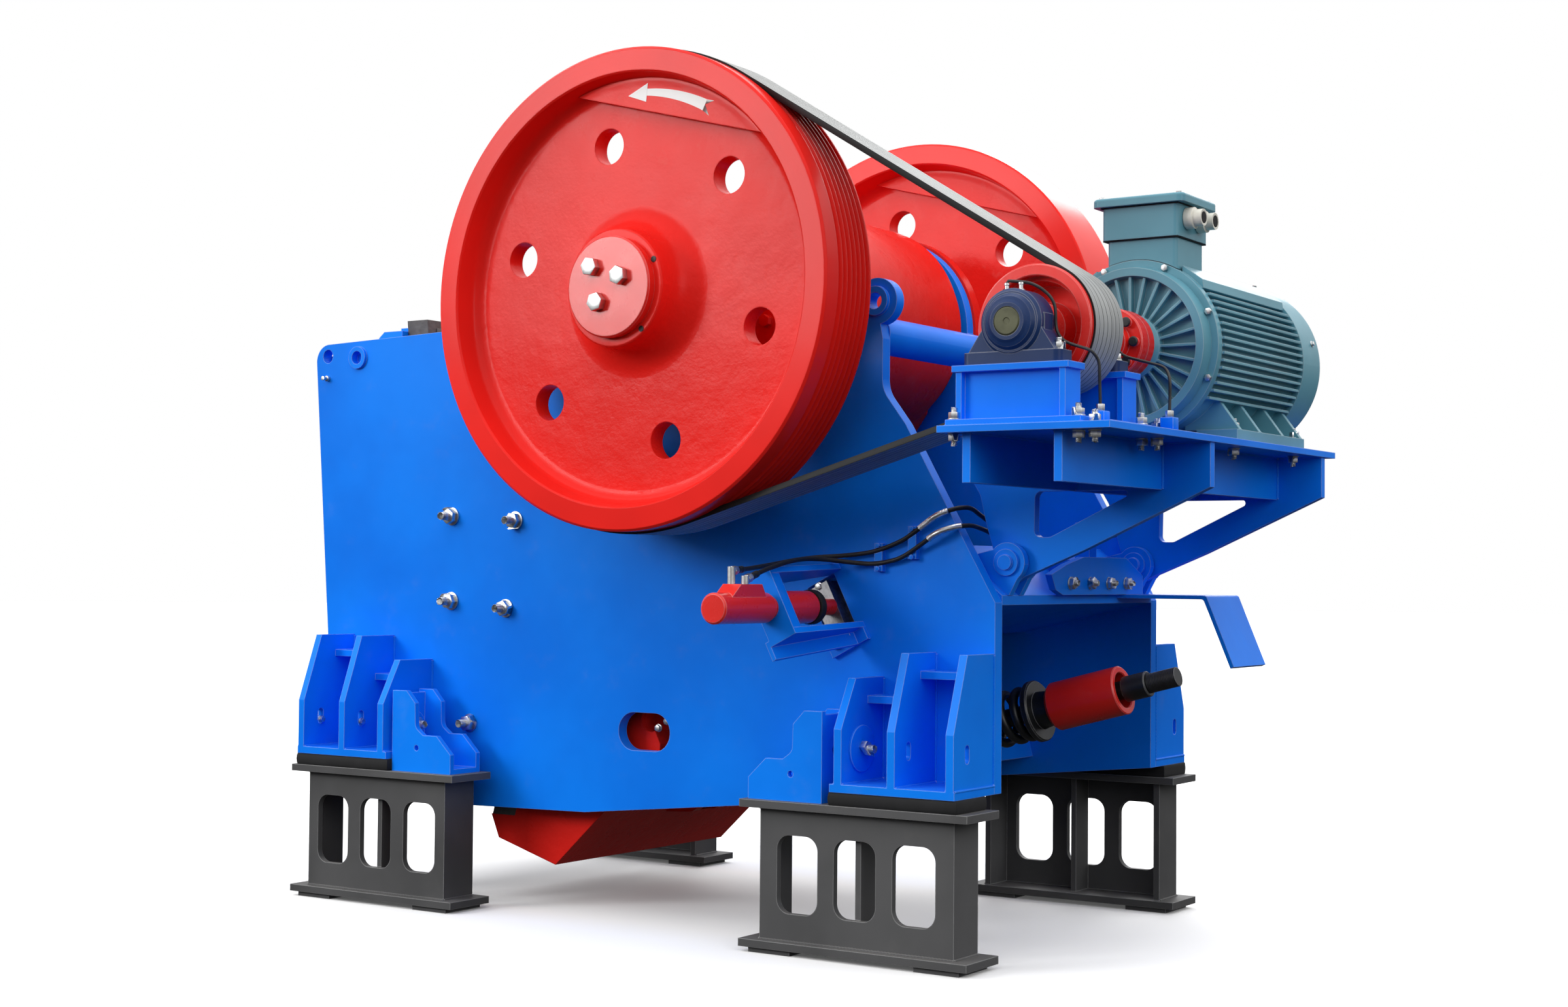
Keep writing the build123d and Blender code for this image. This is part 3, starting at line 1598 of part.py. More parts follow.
def standing_pieces():
    """The stands, pads and stops, by name. They are drawn from the ground."""
    front_stop = stop_bracket(front_foot_x + foot_width + 10, 1)
    rear_stop = stop_bracket(plate_rear_x - foot_width - 46, -1)
    return {
        "mount_pads": mount_pads(),
        "stop_brackets": both_sides(front_stop) + both_sides(rear_stop),
        "front_stands": both_sides(stand(front_stand_x)),
        "rear_stands": both_sides(stand(rear_stand_x)),
    }


def machine_pieces():
    """Every node of the machine on the stands, by name."""
    near_plate = near_side_plate()
    near_arm = deck_arm()
    hoses = near_hoses()
    clips = hose_clips()
    fittings = hose_fittings()
    return {
        "near_side_plate": [near_plate],
        "far_side_plate": [other_side(near_plate)],
        "front_wall": [front_wall()],
        "fixed_jaw_die": [fixed_jaw_die()],
        "cheek_plates": cheek_plates(),
        "jaw_clamp_block": [jaw_clamp_block()],
        "rear_beam": [rear_beam()],
        "rear_bracket": [rear_bracket()],
        "cross_tube": [cross_tube()],
        "bearing_housings": both_sides(bearing_housing()),
        "front_feet": both_sides(front_foot()),
        "rear_feet": both_sides(rear_foot()),
        "motor_deck": [motor_deck()],
        "deck_beams": deck_beams(),
        "near_deck_arm": [near_arm],
        "far_deck_arm": [other_side(near_arm)],
        "hinge_lugs": hinge_lugs(),
        "hinge_pins": hinge_pins(),
        "bearing_pedestals": [bearing_pedestals()],
        "pillow_blocks": pillow_blocks(),
        "motor_frame": [motor_frame()],
        "motor_end_shield": [motor_end_shield()],
        "fan_cowl": [fan_cowl()],
        "terminal_box": [terminal_box()],
        "drive_belt": [drive_belt()],
        "wedge_brackets": both_sides(wedge_bracket()),
        "wedge_cylinders": both_sides(wedge_cylinder()),
        "near_wedge": [near_wedge()],
        "far_wedge": [far_wedge()],
        "near_hoses": hoses,
        "far_hoses": [other_side(piece) for piece in hoses],
        "hose_clips": clips + [other_side(piece) for piece in clips],
        "hose_fittings": fittings + [other_side(piece) for piece in fittings],
        "hose_manifolds": both_sides(manifold()),
        "toggle_seat": [toggle_seat()],
        "toggle_plate": [toggle_plate()],
        "swing_jaw": [swing_jaw()],
        "swing_jaw_die": [swing_jaw_die()],
        "spring_seat_beam": [spring_seat_beam()],
        "tension_spring": [tension_spring()],
        "tension_rod": [tension_rod()],
        "tension_sleeve": [tension_sleeve()],
        "rear_guard": [rear_guard()],
        "main_shaft": [main_shaft()],
        "near_flywheel": [flywheel(True)],
        "far_flywheel": [other_side(flywheel(False))],
        "shaft_caps": both_sides(shaft_cap()),
        "jackshaft": [jackshaft()],
        "belt_pulley": [belt_pulley()],
        "shaft_coupling": [shaft_coupling()],
    }


def solids_of(shapes):
    """The separate solids of a node's shapes."""
    found = []
    for shape in shapes:
        found += shape.solids()
    return found


def main():
    os.makedirs("parts", exist_ok=True)
    nodes = {name: solids_of(shapes) for name, shapes in standing_pieces().items()}
    for name, shapes in machine_pieces().items():
        nodes[name] = [lifted(solid) for solid in solids_of(shapes)]
    every = Compound(children=[solid for solids in nodes.values() for solid in solids])
    box = every.bounding_box()
    shift = Pos(-(box.min.X + box.max.X) / 2, -(box.min.Y + box.max.Y) / 2, 0)
    for name, solids in nodes.items():
        placed = [shift * solid for solid in solids]
        export_step(Compound(children=placed), f"parts/{name}.step")
    print("nodes", len(nodes), "solids", sum(len(solids) for solids in nodes.values()))
    print("box", box.min, box.max)
    print("hose bends", [round(radius) for radius in hose_radii(upper_route) + hose_radii(lower_route)])


main()
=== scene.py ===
# %% [markdown]
# # A jaw crusher, dressed around its fixed frame
# A jaw crusher breaks rock between a fixed jaw and a jaw that swings on a heavy shaft. Two flywheels
# carry it through each stroke, and a motor on a hinged deck drives one of them by belt. The solid
# pieces are already in place when this script starts. What is left is their finish and the small
# things that a foundry and a weld shop leave: bolts, weld beads, belts, pipes, nuts and grilles.

# %% Load the frame
import json
import math
import random

import bmesh
import bpy
from mathutils import Matrix, Vector


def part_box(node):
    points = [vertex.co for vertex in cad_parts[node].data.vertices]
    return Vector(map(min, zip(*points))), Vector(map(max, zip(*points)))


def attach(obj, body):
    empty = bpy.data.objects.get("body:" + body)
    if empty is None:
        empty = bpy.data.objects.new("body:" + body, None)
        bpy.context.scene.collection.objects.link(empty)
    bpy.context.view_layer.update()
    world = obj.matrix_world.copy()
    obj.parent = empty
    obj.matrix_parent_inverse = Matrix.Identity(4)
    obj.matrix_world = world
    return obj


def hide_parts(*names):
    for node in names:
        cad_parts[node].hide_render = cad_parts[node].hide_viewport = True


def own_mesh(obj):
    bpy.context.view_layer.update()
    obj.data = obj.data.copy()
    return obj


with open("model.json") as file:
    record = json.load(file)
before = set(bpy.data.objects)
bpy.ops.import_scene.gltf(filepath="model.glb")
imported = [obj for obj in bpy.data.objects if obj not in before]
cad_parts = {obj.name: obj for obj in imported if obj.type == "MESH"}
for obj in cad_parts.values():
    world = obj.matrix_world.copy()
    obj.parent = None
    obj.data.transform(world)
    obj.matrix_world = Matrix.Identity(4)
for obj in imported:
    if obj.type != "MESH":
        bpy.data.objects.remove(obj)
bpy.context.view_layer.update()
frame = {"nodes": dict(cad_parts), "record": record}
nodes = frame["nodes"]

# %% [markdown]
# ## Where things are
# The machine was drawn in millimetres from its main shaft. Every number below is such a drawing
# size, and `at` turns it into a place in the frame, so a piece can be checked against a drawing.

# %% Places in the frame
MM = 0.001
shaft_low, shaft_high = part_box("main_shaft")
SHAFT = (shaft_low + shaft_high) / 2
layshaft_low, layshaft_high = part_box("jackshaft")
DRIVE = (layshaft_low + layshaft_high) / 2

SHAFT_Z = SHAFT.z / MM
DRIVE_X = (DRIVE.x - SHAFT.x) / MM
DRIVE_Z = DRIVE.z / MM
DECK_TOP = DRIVE_Z - 315
DECK_UNDER = DECK_TOP - 22


def at(x, y, z):
    """A drawing point, X from the main shaft and Z from the ground, in metres in the frame."""
    return Vector((SHAFT.x + x * MM, y * MM, z * MM))


print("shaft height", round(SHAFT_Z), "layshaft", round(DRIVE_X), round(DRIVE_Z))

# %% [markdown]
# ## The camera
# The photograph was taken from the motor side, a little below the flywheel's hub, with a normal
# lens. The direction is given as a turn from the Y axis, a rise and a slight roll.

# %% The camera
PHOTO_WIDTH = 2398
CAMERA_PLACE = (4675.6, -7192.6, 1311.9)
CAMERA_TURN = 0.58526
CAMERA_RISE = 0.031897
CAMERA_ROLL = 0.008488
FOCAL_PIXELS = 3337.6
LENS_OFF_CENTRE = (0.00173, -0.00092)


def aim_camera():
    """Put the photograph's camera in the scene."""
    data = bpy.data.cameras.new("photo_camera")
    camera = bpy.data.objects.new("photo_camera", data)
    bpy.context.scene.collection.objects.link(camera)
    ahead = Vector((
        -math.sin(CAMERA_TURN) * math.cos(CAMERA_RISE),
        math.cos(CAMERA_TURN) * math.cos(CAMERA_RISE),
        math.sin(CAMERA_RISE),
    ))
    right = Vector((math.cos(CAMERA_TURN), math.sin(CAMERA_TURN), 0))
    up = right.cross(ahead)
    roll = CAMERA_ROLL
    right, up = right * math.cos(roll) + up * math.sin(roll), up * math.cos(roll) - right * math.sin(roll)
    turn = Matrix((right, up, -ahead)).transposed().to_4x4()
    camera.matrix_world = Matrix.Translation(at(*CAMERA_PLACE)) @ turn
    data.sensor_width = 36
    data.lens = FOCAL_PIXELS / PHOTO_WIDTH * data.sensor_width
    data.shift_x, data.shift_y = LENS_OFF_CENTRE
    data.clip_end = 200
    bpy.context.scene.camera = camera
    return camera


camera = aim_camera()
print("lens", round(camera.data.lens, 2))

# %% [markdown]
# ## Light and floor
# The machine stood in even light from above with nothing bright below it, so its undersides are
# dark and its colours are full. The sky grows bright from the horizon upwards. The pale floor takes
# shadows but sends no light back, and a white dome, seen by the camera alone, closes the view.

# %% The studio
FLOOR_SIZE = 160
DOME_RADIUS = 75
SKY_RISE = (-0.05, 0.50)
GROUND_LIGHT, SKY_LIGHT = 0.05, 1.55


def lamp(name, place, target, size, power):
    """A soft white lamp, two sides long, at a drawing point and turned to another."""
    data = bpy.data.lights.new(name, "AREA")
    data.shape = "RECTANGLE"
    data.size, data.size_y = size
    data.energy = power
    light = bpy.data.objects.new(name, data)
    bpy.context.scene.collection.objects.link(light)
    start, end = at(*place), at(*target)
    turn = (end - start).to_track_quat("-Z", "Y").to_matrix().to_4x4()
    light.matrix_world = Matrix.Translation(start) @ turn
    return light


def build_sky():
    """A sky that grows bright from the horizon upwards and is dark below it."""
    world = bpy.data.worlds.new("studio")
    world.use_nodes = True
    tree = world.node_tree
    place = tree.nodes.new("ShaderNodeTexCoord")
    split = tree.nodes.new("ShaderNodeSeparateXYZ")
    height = tree.nodes.new("ShaderNodeMapRange")
    height.inputs["From Min"].default_value, height.inputs["From Max"].default_value = SKY_RISE
    height.inputs["To Min"].default_value, height.inputs["To Max"].default_value = GROUND_LIGHT, SKY_LIGHT
    tree.links.new(place.outputs["Generated"], split.inputs[0])
    tree.links.new(split.outputs[2], height.inputs["Value"])
    tree.links.new(height.outputs[0], tree.nodes["Background"].inputs["Color"])
    bpy.context.scene.world = world


def build_floor():
    """A flat floor that takes shadows and sends no light back."""
    mesh = bpy.data.meshes.new("floor")
    shape = bmesh.new()
    bmesh.ops.create_grid(shape, x_segments=1, y_segments=1, size=FLOOR_SIZE / 2)
    shape.to_mesh(mesh)
    shape.free()
    floor = bpy.data.objects.new("floor", mesh)
    bpy.context.scene.collection.objects.link(floor)
    floor.visible_diffuse = False
    floor.visible_glossy = False
    return floor


def build_dome():
    """A white dome that only the camera sees."""
    shape = bmesh.new()
    bmesh.ops.create_uvsphere(shape, u_segments=48, v_segments=24, radius=DOME_RADIUS)
    mesh = bpy.data.meshes.new("dome")
    shape.to_mesh(mesh)
    shape.free()
    mesh.shade_smooth()
    glow = bpy.data.materials.new("dome_white")
    glow.use_nodes = True
    shader = glow.node_tree.nodes["Principled BSDF"]
    shader.inputs["Base Color"].default_value = (0, 0, 0, 1)
    shader.inputs["Specular IOR Level"].default_value = 0
    shader.inputs["Emission Color"].default_value = (1, 1, 1, 1)
    shader.inputs["Emission Strength"].default_value = 1
    mesh.materials.append(glow)
    dome = bpy.data.objects.new("dome", mesh)
    bpy.context.scene.collection.objects.link(dome)
    dome.visible_diffuse = False
    dome.visible_glossy = False
    dome.visible_transmission = False
    dome.visible_shadow = False


build_sky()
build_dome()
floor = build_floor()
lamp("key", (-5600, -9000, 4600), (0, -600, 1500), size=(3.5, 3.0), power=420)
lamp("side_fill", (9500, -3500, 4200), (900, 0, 1500), size=(5.0, 4.0), power=110)
lamp("top", (900, -300, 8200), (300, 0, 1500), size=(3.0, 3.0), power=40)
lamp("back", (-2500, 8500, 5200), (0, 0, 1800), size=(5.0, 4.0), power=260)
bpy.context.scene.view_settings.view_transform = "Standard"

# %% [markdown]
# ## Mixing finishes
# A finish is a network of nodes. Written as plain arithmetic it stays readable: `Signal` is a
# number that changes over the surface, and adding or multiplying signals adds the Math nodes.

# %% Signals and recipes


class Signal:
    """A number that changes over a surface, with arithmetic that adds Math nodes."""

    def __init__(self, recipe, socket):
        self.recipe = recipe
        self.socket = socket

    def reckon(self, operation, first, second=0.0):
        return self.recipe.add("ShaderNodeMath", {"operation": operation}, {0: first, 1: second})

    def __add__(self, other):
        return self.reckon("ADD", self, other)

    __radd__ = __add__

    def __sub__(self, other):
        return self.reckon("SUBTRACT", self, other)

    def __rsub__(self, other):
        return self.reckon("SUBTRACT", other, self)

    def __mul__(self, other):
        return self.reckon("MULTIPLY", self, other)


class Recipe:
    """A material being mixed, around one shader."""

    def __init__(self, name):
        self.material = bpy.data.materials.new(name)
        self.material.use_nodes = True
        self.tree = self.material.node_tree
        self.tree.nodes.clear()
        self.output = self.tree.nodes.new("ShaderNodeOutputMaterial")
        self.shader = self.tree.nodes.new("ShaderNodeBsdfPrincipled")
        self.tree.links.new(self.shader.outputs[0], self.output.inputs[0])
        self.place = self.add("ShaderNodeTexCoord", {}, {}, "Object")

    def feed(self, node, key, value):
        """Set one socket from a number, a colour or a signal."""
        socket = node.inputs[key]
        if isinstance(value, Signal):
            self.tree.links.new(value.socket, socket)
        elif isinstance(value, (tuple, list)) and len(value) == 3 and socket.type == "RGBA":
            socket.default_value = (*value, 1)
        else:
            socket.default_value = value

    def add(self, kind, settings, inputs, output=0):
        """One more node: its type, its settings, its sockets, and the output that is wanted."""
        node = self.tree.nodes.new(kind)
        for name, value in settings.items():
            setattr(node, name, value)
        for key, value in inputs.items():
            self.feed(node, key, value)
        return Signal(self, node.outputs[output])

    def noise(self, scale, detail=3.0, roughness=0.5, stretch=None):
        """Cloudy noise with a grain of about 1 / scale metres."""
        place = self.place
        if stretch:
            place = self.add("ShaderNodeMapping", {}, {"Vector": place, "Scale": stretch})
        return self.add("ShaderNodeTexNoise", {}, {
            "Vector": place, "Scale": scale, "Detail": detail, "Roughness": roughness})

    def step(self, signal, low, high):
        """Turn a signal into a mask that rises from 0 to 1 between two values."""
        return self.add("ShaderNodeMapRange", {"interpolation_type": "SMOOTHSTEP"}, {
            "Value": signal, "From Min": low, "From Max": high})

    def blend(self, mask, first, second):
        """Mix two colours by a mask."""
        return self.add("ShaderNodeMix", {"data_type": "RGBA"}, {
            0: mask, 6: first, 7: second}, 2)

    def bump(self, height, distance, strength=1.0, under=None):
        """A bump from a height signal, in metres."""
        inputs = {"Height": height, "Distance": distance, "Strength": strength}
        if under is not None:
            inputs["Normal"] = under
        return self.add("ShaderNodeBump", {}, inputs)

    def rounded(self, radius):
        """The normal as if sharp edges were rounded by a radius."""
        return self.add("ShaderNodeBevel", {"samples": 4}, {"Radius": radius})

    def edges(self, radius):
        """1 along sharp edges, where the rounded normal leaves the true one."""
        true = self.add("ShaderNodeNewGeometry", {}, {}, "Normal")
        both = self.add("ShaderNodeVectorMath", {"operation": "DOT_PRODUCT"}, {
            0: self.rounded(radius), 1: true}, "Value")
        return self.step(1 - both, 0.01, 0.12)

    def facing_up(self):
        """1 where a surface faces the sky, 0 where it faces sideways or down."""
        geometry = self.add("ShaderNodeNewGeometry", {}, {}, "Normal")
        split = self.add("ShaderNodeSeparateXYZ", {}, {0: geometry}, 2)
        return self.step(split, 0.5, 0.95)

    def finish(self, **sockets):
        """Feed the shader's sockets and give the material back."""
        for key, value in sockets.items():
            self.feed(self.shader, key.replace("_", " ").title().replace("Ior", "IOR"), value)
        return self.material


# %% [markdown]
# ## Sprayed paint
# Structural parts are sprayed with gloss enamel. Close up it has orange peel, a millimetre grain
# that breaks the highlights, slow drifts of shade where the coats overlap, and dusty flat tops that
# are also made paler as painted light from above.
# Plate edges are never razor sharp, so the normal is rounded a few millimetres, and along that
# turn the colour is lightened as a painted highlight.

# %% Sprayed paint
# The grey that faces are paled towards: dusty grime, and on tops also painted light from above.
DUST_AND_TOP_LIGHT = (0.42, 0.40, 0.37)
EDGE_HIGHLIGHT_SHARE = 0.75


def shaded(colour, share):
    """A colour made darker or lighter by a share."""
    return tuple(min(1.0, max(0.0, c * (1 + share))) for c in colour)


def sprayed(name, colour, roughness=0.34, peel=0.00012, drift=0.14, dust_and_top_light=0.05, edge=0.004, shine=0.22,
            coat=0.08):
    """Gloss or satin paint over plate steel."""
    mix = Recipe(name)
    slow = mix.noise(1.3, 4.0, 0.55)
    patch = mix.noise(8.0, 5.0, 0.6)
    tone = mix.blend(mix.step(slow, 0.30, 0.72), shaded(colour, -drift), shaded(colour, drift))
    # Faces that look up are paled towards a dusty grey, part dirt and part painted light from above; random
    # patches add grime.
    grime_and_top_light = mix.step(patch, 0.56, 0.85) * 0.05 + mix.facing_up() * dust_and_top_light * mix.step(slow, 0.25, 0.75)
    tone = mix.blend(grime_and_top_light, tone, DUST_AND_TOP_LIGHT)
    # Painted highlight: the colour is lightened towards white along sharp edges.
    tone = mix.blend(mix.edges(edge) * EDGE_HIGHLIGHT_SHARE, tone, tuple(c * 0.6 + 0.4 for c in colour))
    grain = mix.noise(420.0, 2.0, 0.5)
    wave = mix.noise(22.0, 2.0, 0.5)
    normal = mix.bump(wave, 0.0010, 0.30, mix.bump(grain, peel, 0.8, mix.rounded(edge)))
    gloss = roughness + patch * 0.14 - 0.07 + grime_and_top_light * 0.5
    return mix.finish(base_color=tone, roughness=gloss, normal=normal, specular_ior_level=shine,
                      coat_weight=coat, coat_roughness=0.12)


FRAME_BLUE = sprayed("frame_blue", (0.003, 0.205, 0.97), shine=0.10, coat=0.03)
PART_RED = sprayed("part_red", (0.78, 0.018, 0.012), roughness=0.28, shine=0.35, coat=0.15)
BEARING_BLUE = sprayed("bearing_blue", (0.009, 0.030, 0.11), roughness=0.36, shine=0.22, coat=0.02)
MOTOR_TEAL = sprayed("motor_teal", (0.110, 0.300, 0.38), roughness=0.36, peel=0.0002, shine=0.3)
BLACK_PAINT = sprayed("black_paint", (0.010, 0.011, 0.012), roughness=0.36, dust_and_top_light=0.10, shine=0.5, coat=0.0)
# On the stand the share is large: its tops are painted paler, as light from above would make them.
STAND_GREY = sprayed("stand_grey", (0.078, 0.078, 0.080), roughness=0.5, peel=0.0003, drift=0.25,
                     dust_and_top_light=0.20, coat=0.0)

# %% [markdown]
# ## Cast and painted
# A flywheel is one casting. Its rim is turned smooth, but the web keeps the skin of the sand mould
# under the paint, so its highlights break up. The mask between them is the distance to the shaft.
# The swing jaw and the bearing housings have the same skin all over. Pale patches on that skin are
# painted sheen, standing for glints of light.

# %% Cast and painted
RIM_INSIDE = 745 * MM


def cast_paint(name, colour, turned_rim):
    """Enamel over a sand casting, with a smooth rim on a wheel."""
    mix = Recipe(name)
    if turned_rim:
        centre = mix.add("ShaderNodeVectorMath", {"operation": "SUBTRACT"}, {0: mix.place, 1: tuple(SHAFT)})
        flat = mix.add("ShaderNodeVectorMath", {"operation": "MULTIPLY"}, {0: centre, 1: (1, 0, 1)})
        radius = mix.add("ShaderNodeVectorMath", {"operation": "LENGTH"}, {0: flat}, "Value")
        rough_part = 1 - mix.step(radius, RIM_INSIDE - 0.03, RIM_INSIDE)
    else:
        rough_part = mix.step(mix.noise(0.9), 0.0, 0.3)
    slow = mix.noise(1.5, 3.0, 0.5)
    skin = mix.noise(9.0, 6.0, 0.60)
    pits = mix.noise(55.0, 3.0, 0.7)
    tone = mix.blend(mix.step(slow, 0.3, 0.7), shaded(colour, -0.10), shaded(colour, 0.08))
    # Painted sheen: pale pink patches on the cast skin stand for glints, and they are also made rougher.
    painted_sheen = rough_part * mix.step(skin, 0.58, 0.75) * mix.step(slow, 0.40, 0.62) * 0.16
    tone = mix.blend(painted_sheen, tone, (0.85, 0.35, 0.32))
    grain = mix.noise(420.0, 2.0, 0.5)
    smooth = mix.bump(grain, 0.0001, 0.8, mix.rounded(0.005))
    pitted = mix.bump(pits * rough_part, 0.0015, 0.35, smooth)
    rough = mix.bump(skin * rough_part, 0.010, 0.40, pitted)
    gloss = 0.20 + rough_part * skin * 0.18 + painted_sheen * 0.6
    return mix.finish(base_color=tone, roughness=gloss, normal=rough, specular_ior_level=0.10,
                      coat_weight=0.03, coat_roughness=0.08)


WHEEL_RED = cast_paint("wheel_red", (0.84, 0.018, 0.013), True)
CAST_RED = cast_paint("cast_red", (0.76, 0.018, 0.013), False)

# %% [markdown]
# ## Bare metal, rubber and plastic
# Bolts are zinc plated, shafts are turned, and the wear plates are raw manganese castings. Rubber
# is nearly black and scatters light in a fine grain. The belts' backs are worn pale and streaked
# along their length, so their noise is stretched: close across the belt and slow along it.

# %% Bare metal, rubber and plastic


def bare_metal(name, colour, roughness, grain, depth, metallic=1.0, edge=0.001):
    """Metal with a fine grain and uneven tarnish."""
    mix = Recipe(name)
    tarnish = mix.noise(grain / 8, 4.0, 0.6)
    fine = mix.noise(grain, 3.0, 0.6)
    tone = mix.blend(mix.step(tarnish, 0.35, 0.75), colour, shaded(colour, -0.42))
    normal = mix.bump(fine, depth, 0.7, mix.rounded(edge))
    gloss = roughness + tarnish * 0.3 - 0.12
    return mix.finish(base_color=tone, roughness=gloss, metallic=metallic, normal=normal)


def rubbery(name, colour, roughness=0.7, grain=260.0):
    """Matt rubber with a fine grain and a little dirt."""
    mix = Recipe(name)
    fine = mix.noise(grain, 3.0, 0.6)
    slow = mix.noise(6.0, 4.0, 0.6)
    pale = tuple(c * 2.2 + 0.008 for c in colour)
    tone = mix.blend(mix.step(slow, 0.4, 0.8) * 0.4 + mix.facing_up() * 0.2, colour, pale)
    normal = mix.bump(fine, 0.0004, 0.8, mix.rounded(0.003))
    return mix.finish(base_color=tone, roughness=roughness + slow * 0.15, normal=normal,
                      specular_ior_level=0.35)


def belt_back(name, colour):
    """The worn back of a belt, streaked along its run."""
    mix = Recipe(name)
    streak = mix.noise(3.0, 4.0, 0.65, (0.35, 60.0, 0.35))
    slow = mix.noise(2.2, 3.0, 0.5)
    tone = mix.blend(mix.step(streak, 0.3, 0.7), shaded(colour, -0.35), shaded(colour, 0.25))
    tone = mix.blend(mix.step(slow, 0.4, 0.8) * 0.3, tone, (0.20, 0.19, 0.15))
    normal = mix.bump(streak, 0.0006, 0.5)
    return mix.finish(base_color=tone, roughness=0.42 + slow * 0.2, normal=normal, specular_ior_level=0.6)


def plastic(name, colour):
    """Smooth plastic with a faint moulded grain."""
    mix = Recipe(name)
    grain = mix.noise(180.0, 2.0, 0.5)
    slow = mix.noise(14.0, 2.0, 0.5)
    tone = mix.blend(slow, shaded(colour, -0.08), shaded(colour, 0.05))
    return mix.finish(base_color=tone, roughness=0.35 + slow * 0.1, normal=mix.bump(grain, 0.0001))


ZINC = bare_metal("zinc_plate", (0.76, 0.77, 0.77), roughness=0.34, grain=300.0, depth=0.0001)
TURNED = bare_metal("turned_steel", (0.42, 0.42, 0.44), roughness=0.34, grain=400.0, depth=0.0001)
CAST_STEEL = bare_metal("cast_manganese", (0.16, 0.15, 0.145), roughness=0.62, grain=60.0, depth=0.002,
                        metallic=0.7, edge=0.004)
GREASED = bare_metal("greased_steel", (0.085, 0.088, 0.045), roughness=0.50, grain=90.0, depth=0.0004,
                     metallic=0.3)
DARK_STEEL = bare_metal("dark_steel", (0.045, 0.045, 0.046), roughness=0.45, grain=200.0, depth=0.0003,
                        metallic=0.6)
RUBBER = rubbery("black_rubber", (0.010, 0.010, 0.011))
HOSE = rubbery("hose_rubber", (0.010, 0.010, 0.012), roughness=0.42)
BELT_SIDE = rubbery("belt_side", (0.009, 0.010, 0.011), roughness=0.55)
BELT_BACK = belt_back("belt_back", (0.30, 0.31, 0.31))
GLAND = plastic("pale_plastic", (0.72, 0.70, 0.62))
ARROW_WHITE = plastic("white_enamel", (0.86, 0.86, 0.85))

# %% Give every solid its finish
SLOT_FINISH = {
    "frame_blue": FRAME_BLUE,
    "part_red": PART_RED,
    "stand_grey": STAND_GREY,
    "motor_teal": MOTOR_TEAL,
    "bearing_blue": BEARING_BLUE,
    "black_paint": BLACK_PAINT,
    "bare_steel": TURNED,
    "wear_steel": CAST_STEEL,
    "black_rubber": RUBBER,
    "belt_rubber": BELT_SIDE,
    "hose_rubber": HOSE,
}
NODE_FINISH = {
    "near_flywheel": WHEEL_RED,
    "far_flywheel": WHEEL_RED,
    "swing_jaw": CAST_RED,
    "bearing_housings": CAST_RED,
    "hinge_pins": FRAME_BLUE,
    "hose_fittings": ZINC,
}

for part in frame["record"]["subparts"]:
    name = part["node"]
    finish = NODE_FINISH.get(name, SLOT_FINISH[part["material_slot"]])
    mesh = nodes[name].data
    mesh.materials.clear()
    mesh.materials.append(finish)
print("finishes given to", len(nodes), "solids")

# %% [markdown]
# ## Making pieces
# Everything small is drawn in millimetres, in the drawing's own places, and moved into the frame
# once at the end. A thing that is repeated, such as a bolt, is made once standing on the Z axis,
# kept as a mesh, and copied to each place, turned to stand along a given direction.

# %% Making pieces
TO_FRAME = Matrix.Translation((SHAFT.x, 0, 0)) @ Matrix.Scale(MM, 4)
OUT, BACK, UP, DOWN, REAR, FRONT = (0, -1, 0), (0, 1, 0), (0, 0, 1), (0, 0, -1), (1, 0, 0), (-1, 0, 0)
dice = random.Random(11)


def settle(name, shape, finish, body, crease=32):
    """Turn a shape drawn in millimetres into a finished piece that rides on a body."""
    bmesh.ops.remove_doubles(shape, verts=shape.verts, dist=0.01)
    bmesh.ops.recalc_face_normals(shape, faces=shape.faces)
    bmesh.ops.transform(shape, matrix=TO_FRAME, verts=shape.verts)
    mesh = bpy.data.meshes.new(name)
    shape.to_mesh(mesh)
    shape.free()
    mesh.shade_smooth()
    mesh.set_sharp_from_angle(angle=math.radians(crease))
    for material in finish if isinstance(finish, tuple) else (finish,):
        mesh.materials.append(material)
    piece = bpy.data.objects.new(name, mesh)
    bpy.context.scene.collection.objects.link(piece)
    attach(piece, body)
    return piece


def keep(shape):
    """Store a shape as a mesh that can be copied many times."""
    mesh = bpy.data.meshes.new("kept")
    shape.to_mesh(mesh)
    shape.free()
    return mesh


def aim(start, direction):
    """Stand the Z axis on a drawing point, along a direction."""
    turn = Vector(direction).to_track_quat("Z", "Y").to_matrix().to_4x4()
    return Matrix.Translation(Vector(start)) @ turn


def add_copy(shape, mesh, matrix):
    """Add a kept mesh to a shape, at a place."""
    first = len(shape.verts)
    shape.from_mesh(mesh)
    shape.verts.ensure_lookup_table()
    bmesh.ops.transform(shape, matrix=matrix, verts=shape.verts[first:])


def soften(shape, lines, width):
    """Cut two narrow facets along edges."""
    bmesh.ops.bevel(shape, geom=lines, offset=width, offset_type="OFFSET", segments=2, profile=0.5,
                    affect="EDGES", material=-1)


def edges_of(corners, upright):
    """The edges at some corners that stand up, or those that lie flat, in a fixed order."""
    lines = dict.fromkeys(line for corner in corners for line in corner.link_edges)
    return [line for line in lines if (abs(line.verts[0].co.z - line.verts[1].co.z) > 0.001) == upright]


def box(shape, middle, size):
    """A block round a middle point. Its corners are given back."""
    matrix = Matrix.Translation(middle) @ Matrix.Diagonal((*size, 1))
    return bmesh.ops.create_cube(shape, size=1, matrix=matrix)["verts"]


def disc(shape, radius, low, high, sides=24, edge=0.0):
    """A round or many-sided plate on the Z axis, with bevelled rims."""
    made = bmesh.ops.create_cone(
        shape, cap_ends=True, cap_tris=False, segments=sides, radius1=radius, radius2=radius,
        depth=high - low, matrix=Matrix.Translation((0, 0, (low + high) / 2)))
    if edge:
        soften(shape, edges_of(made["verts"], False), edge)


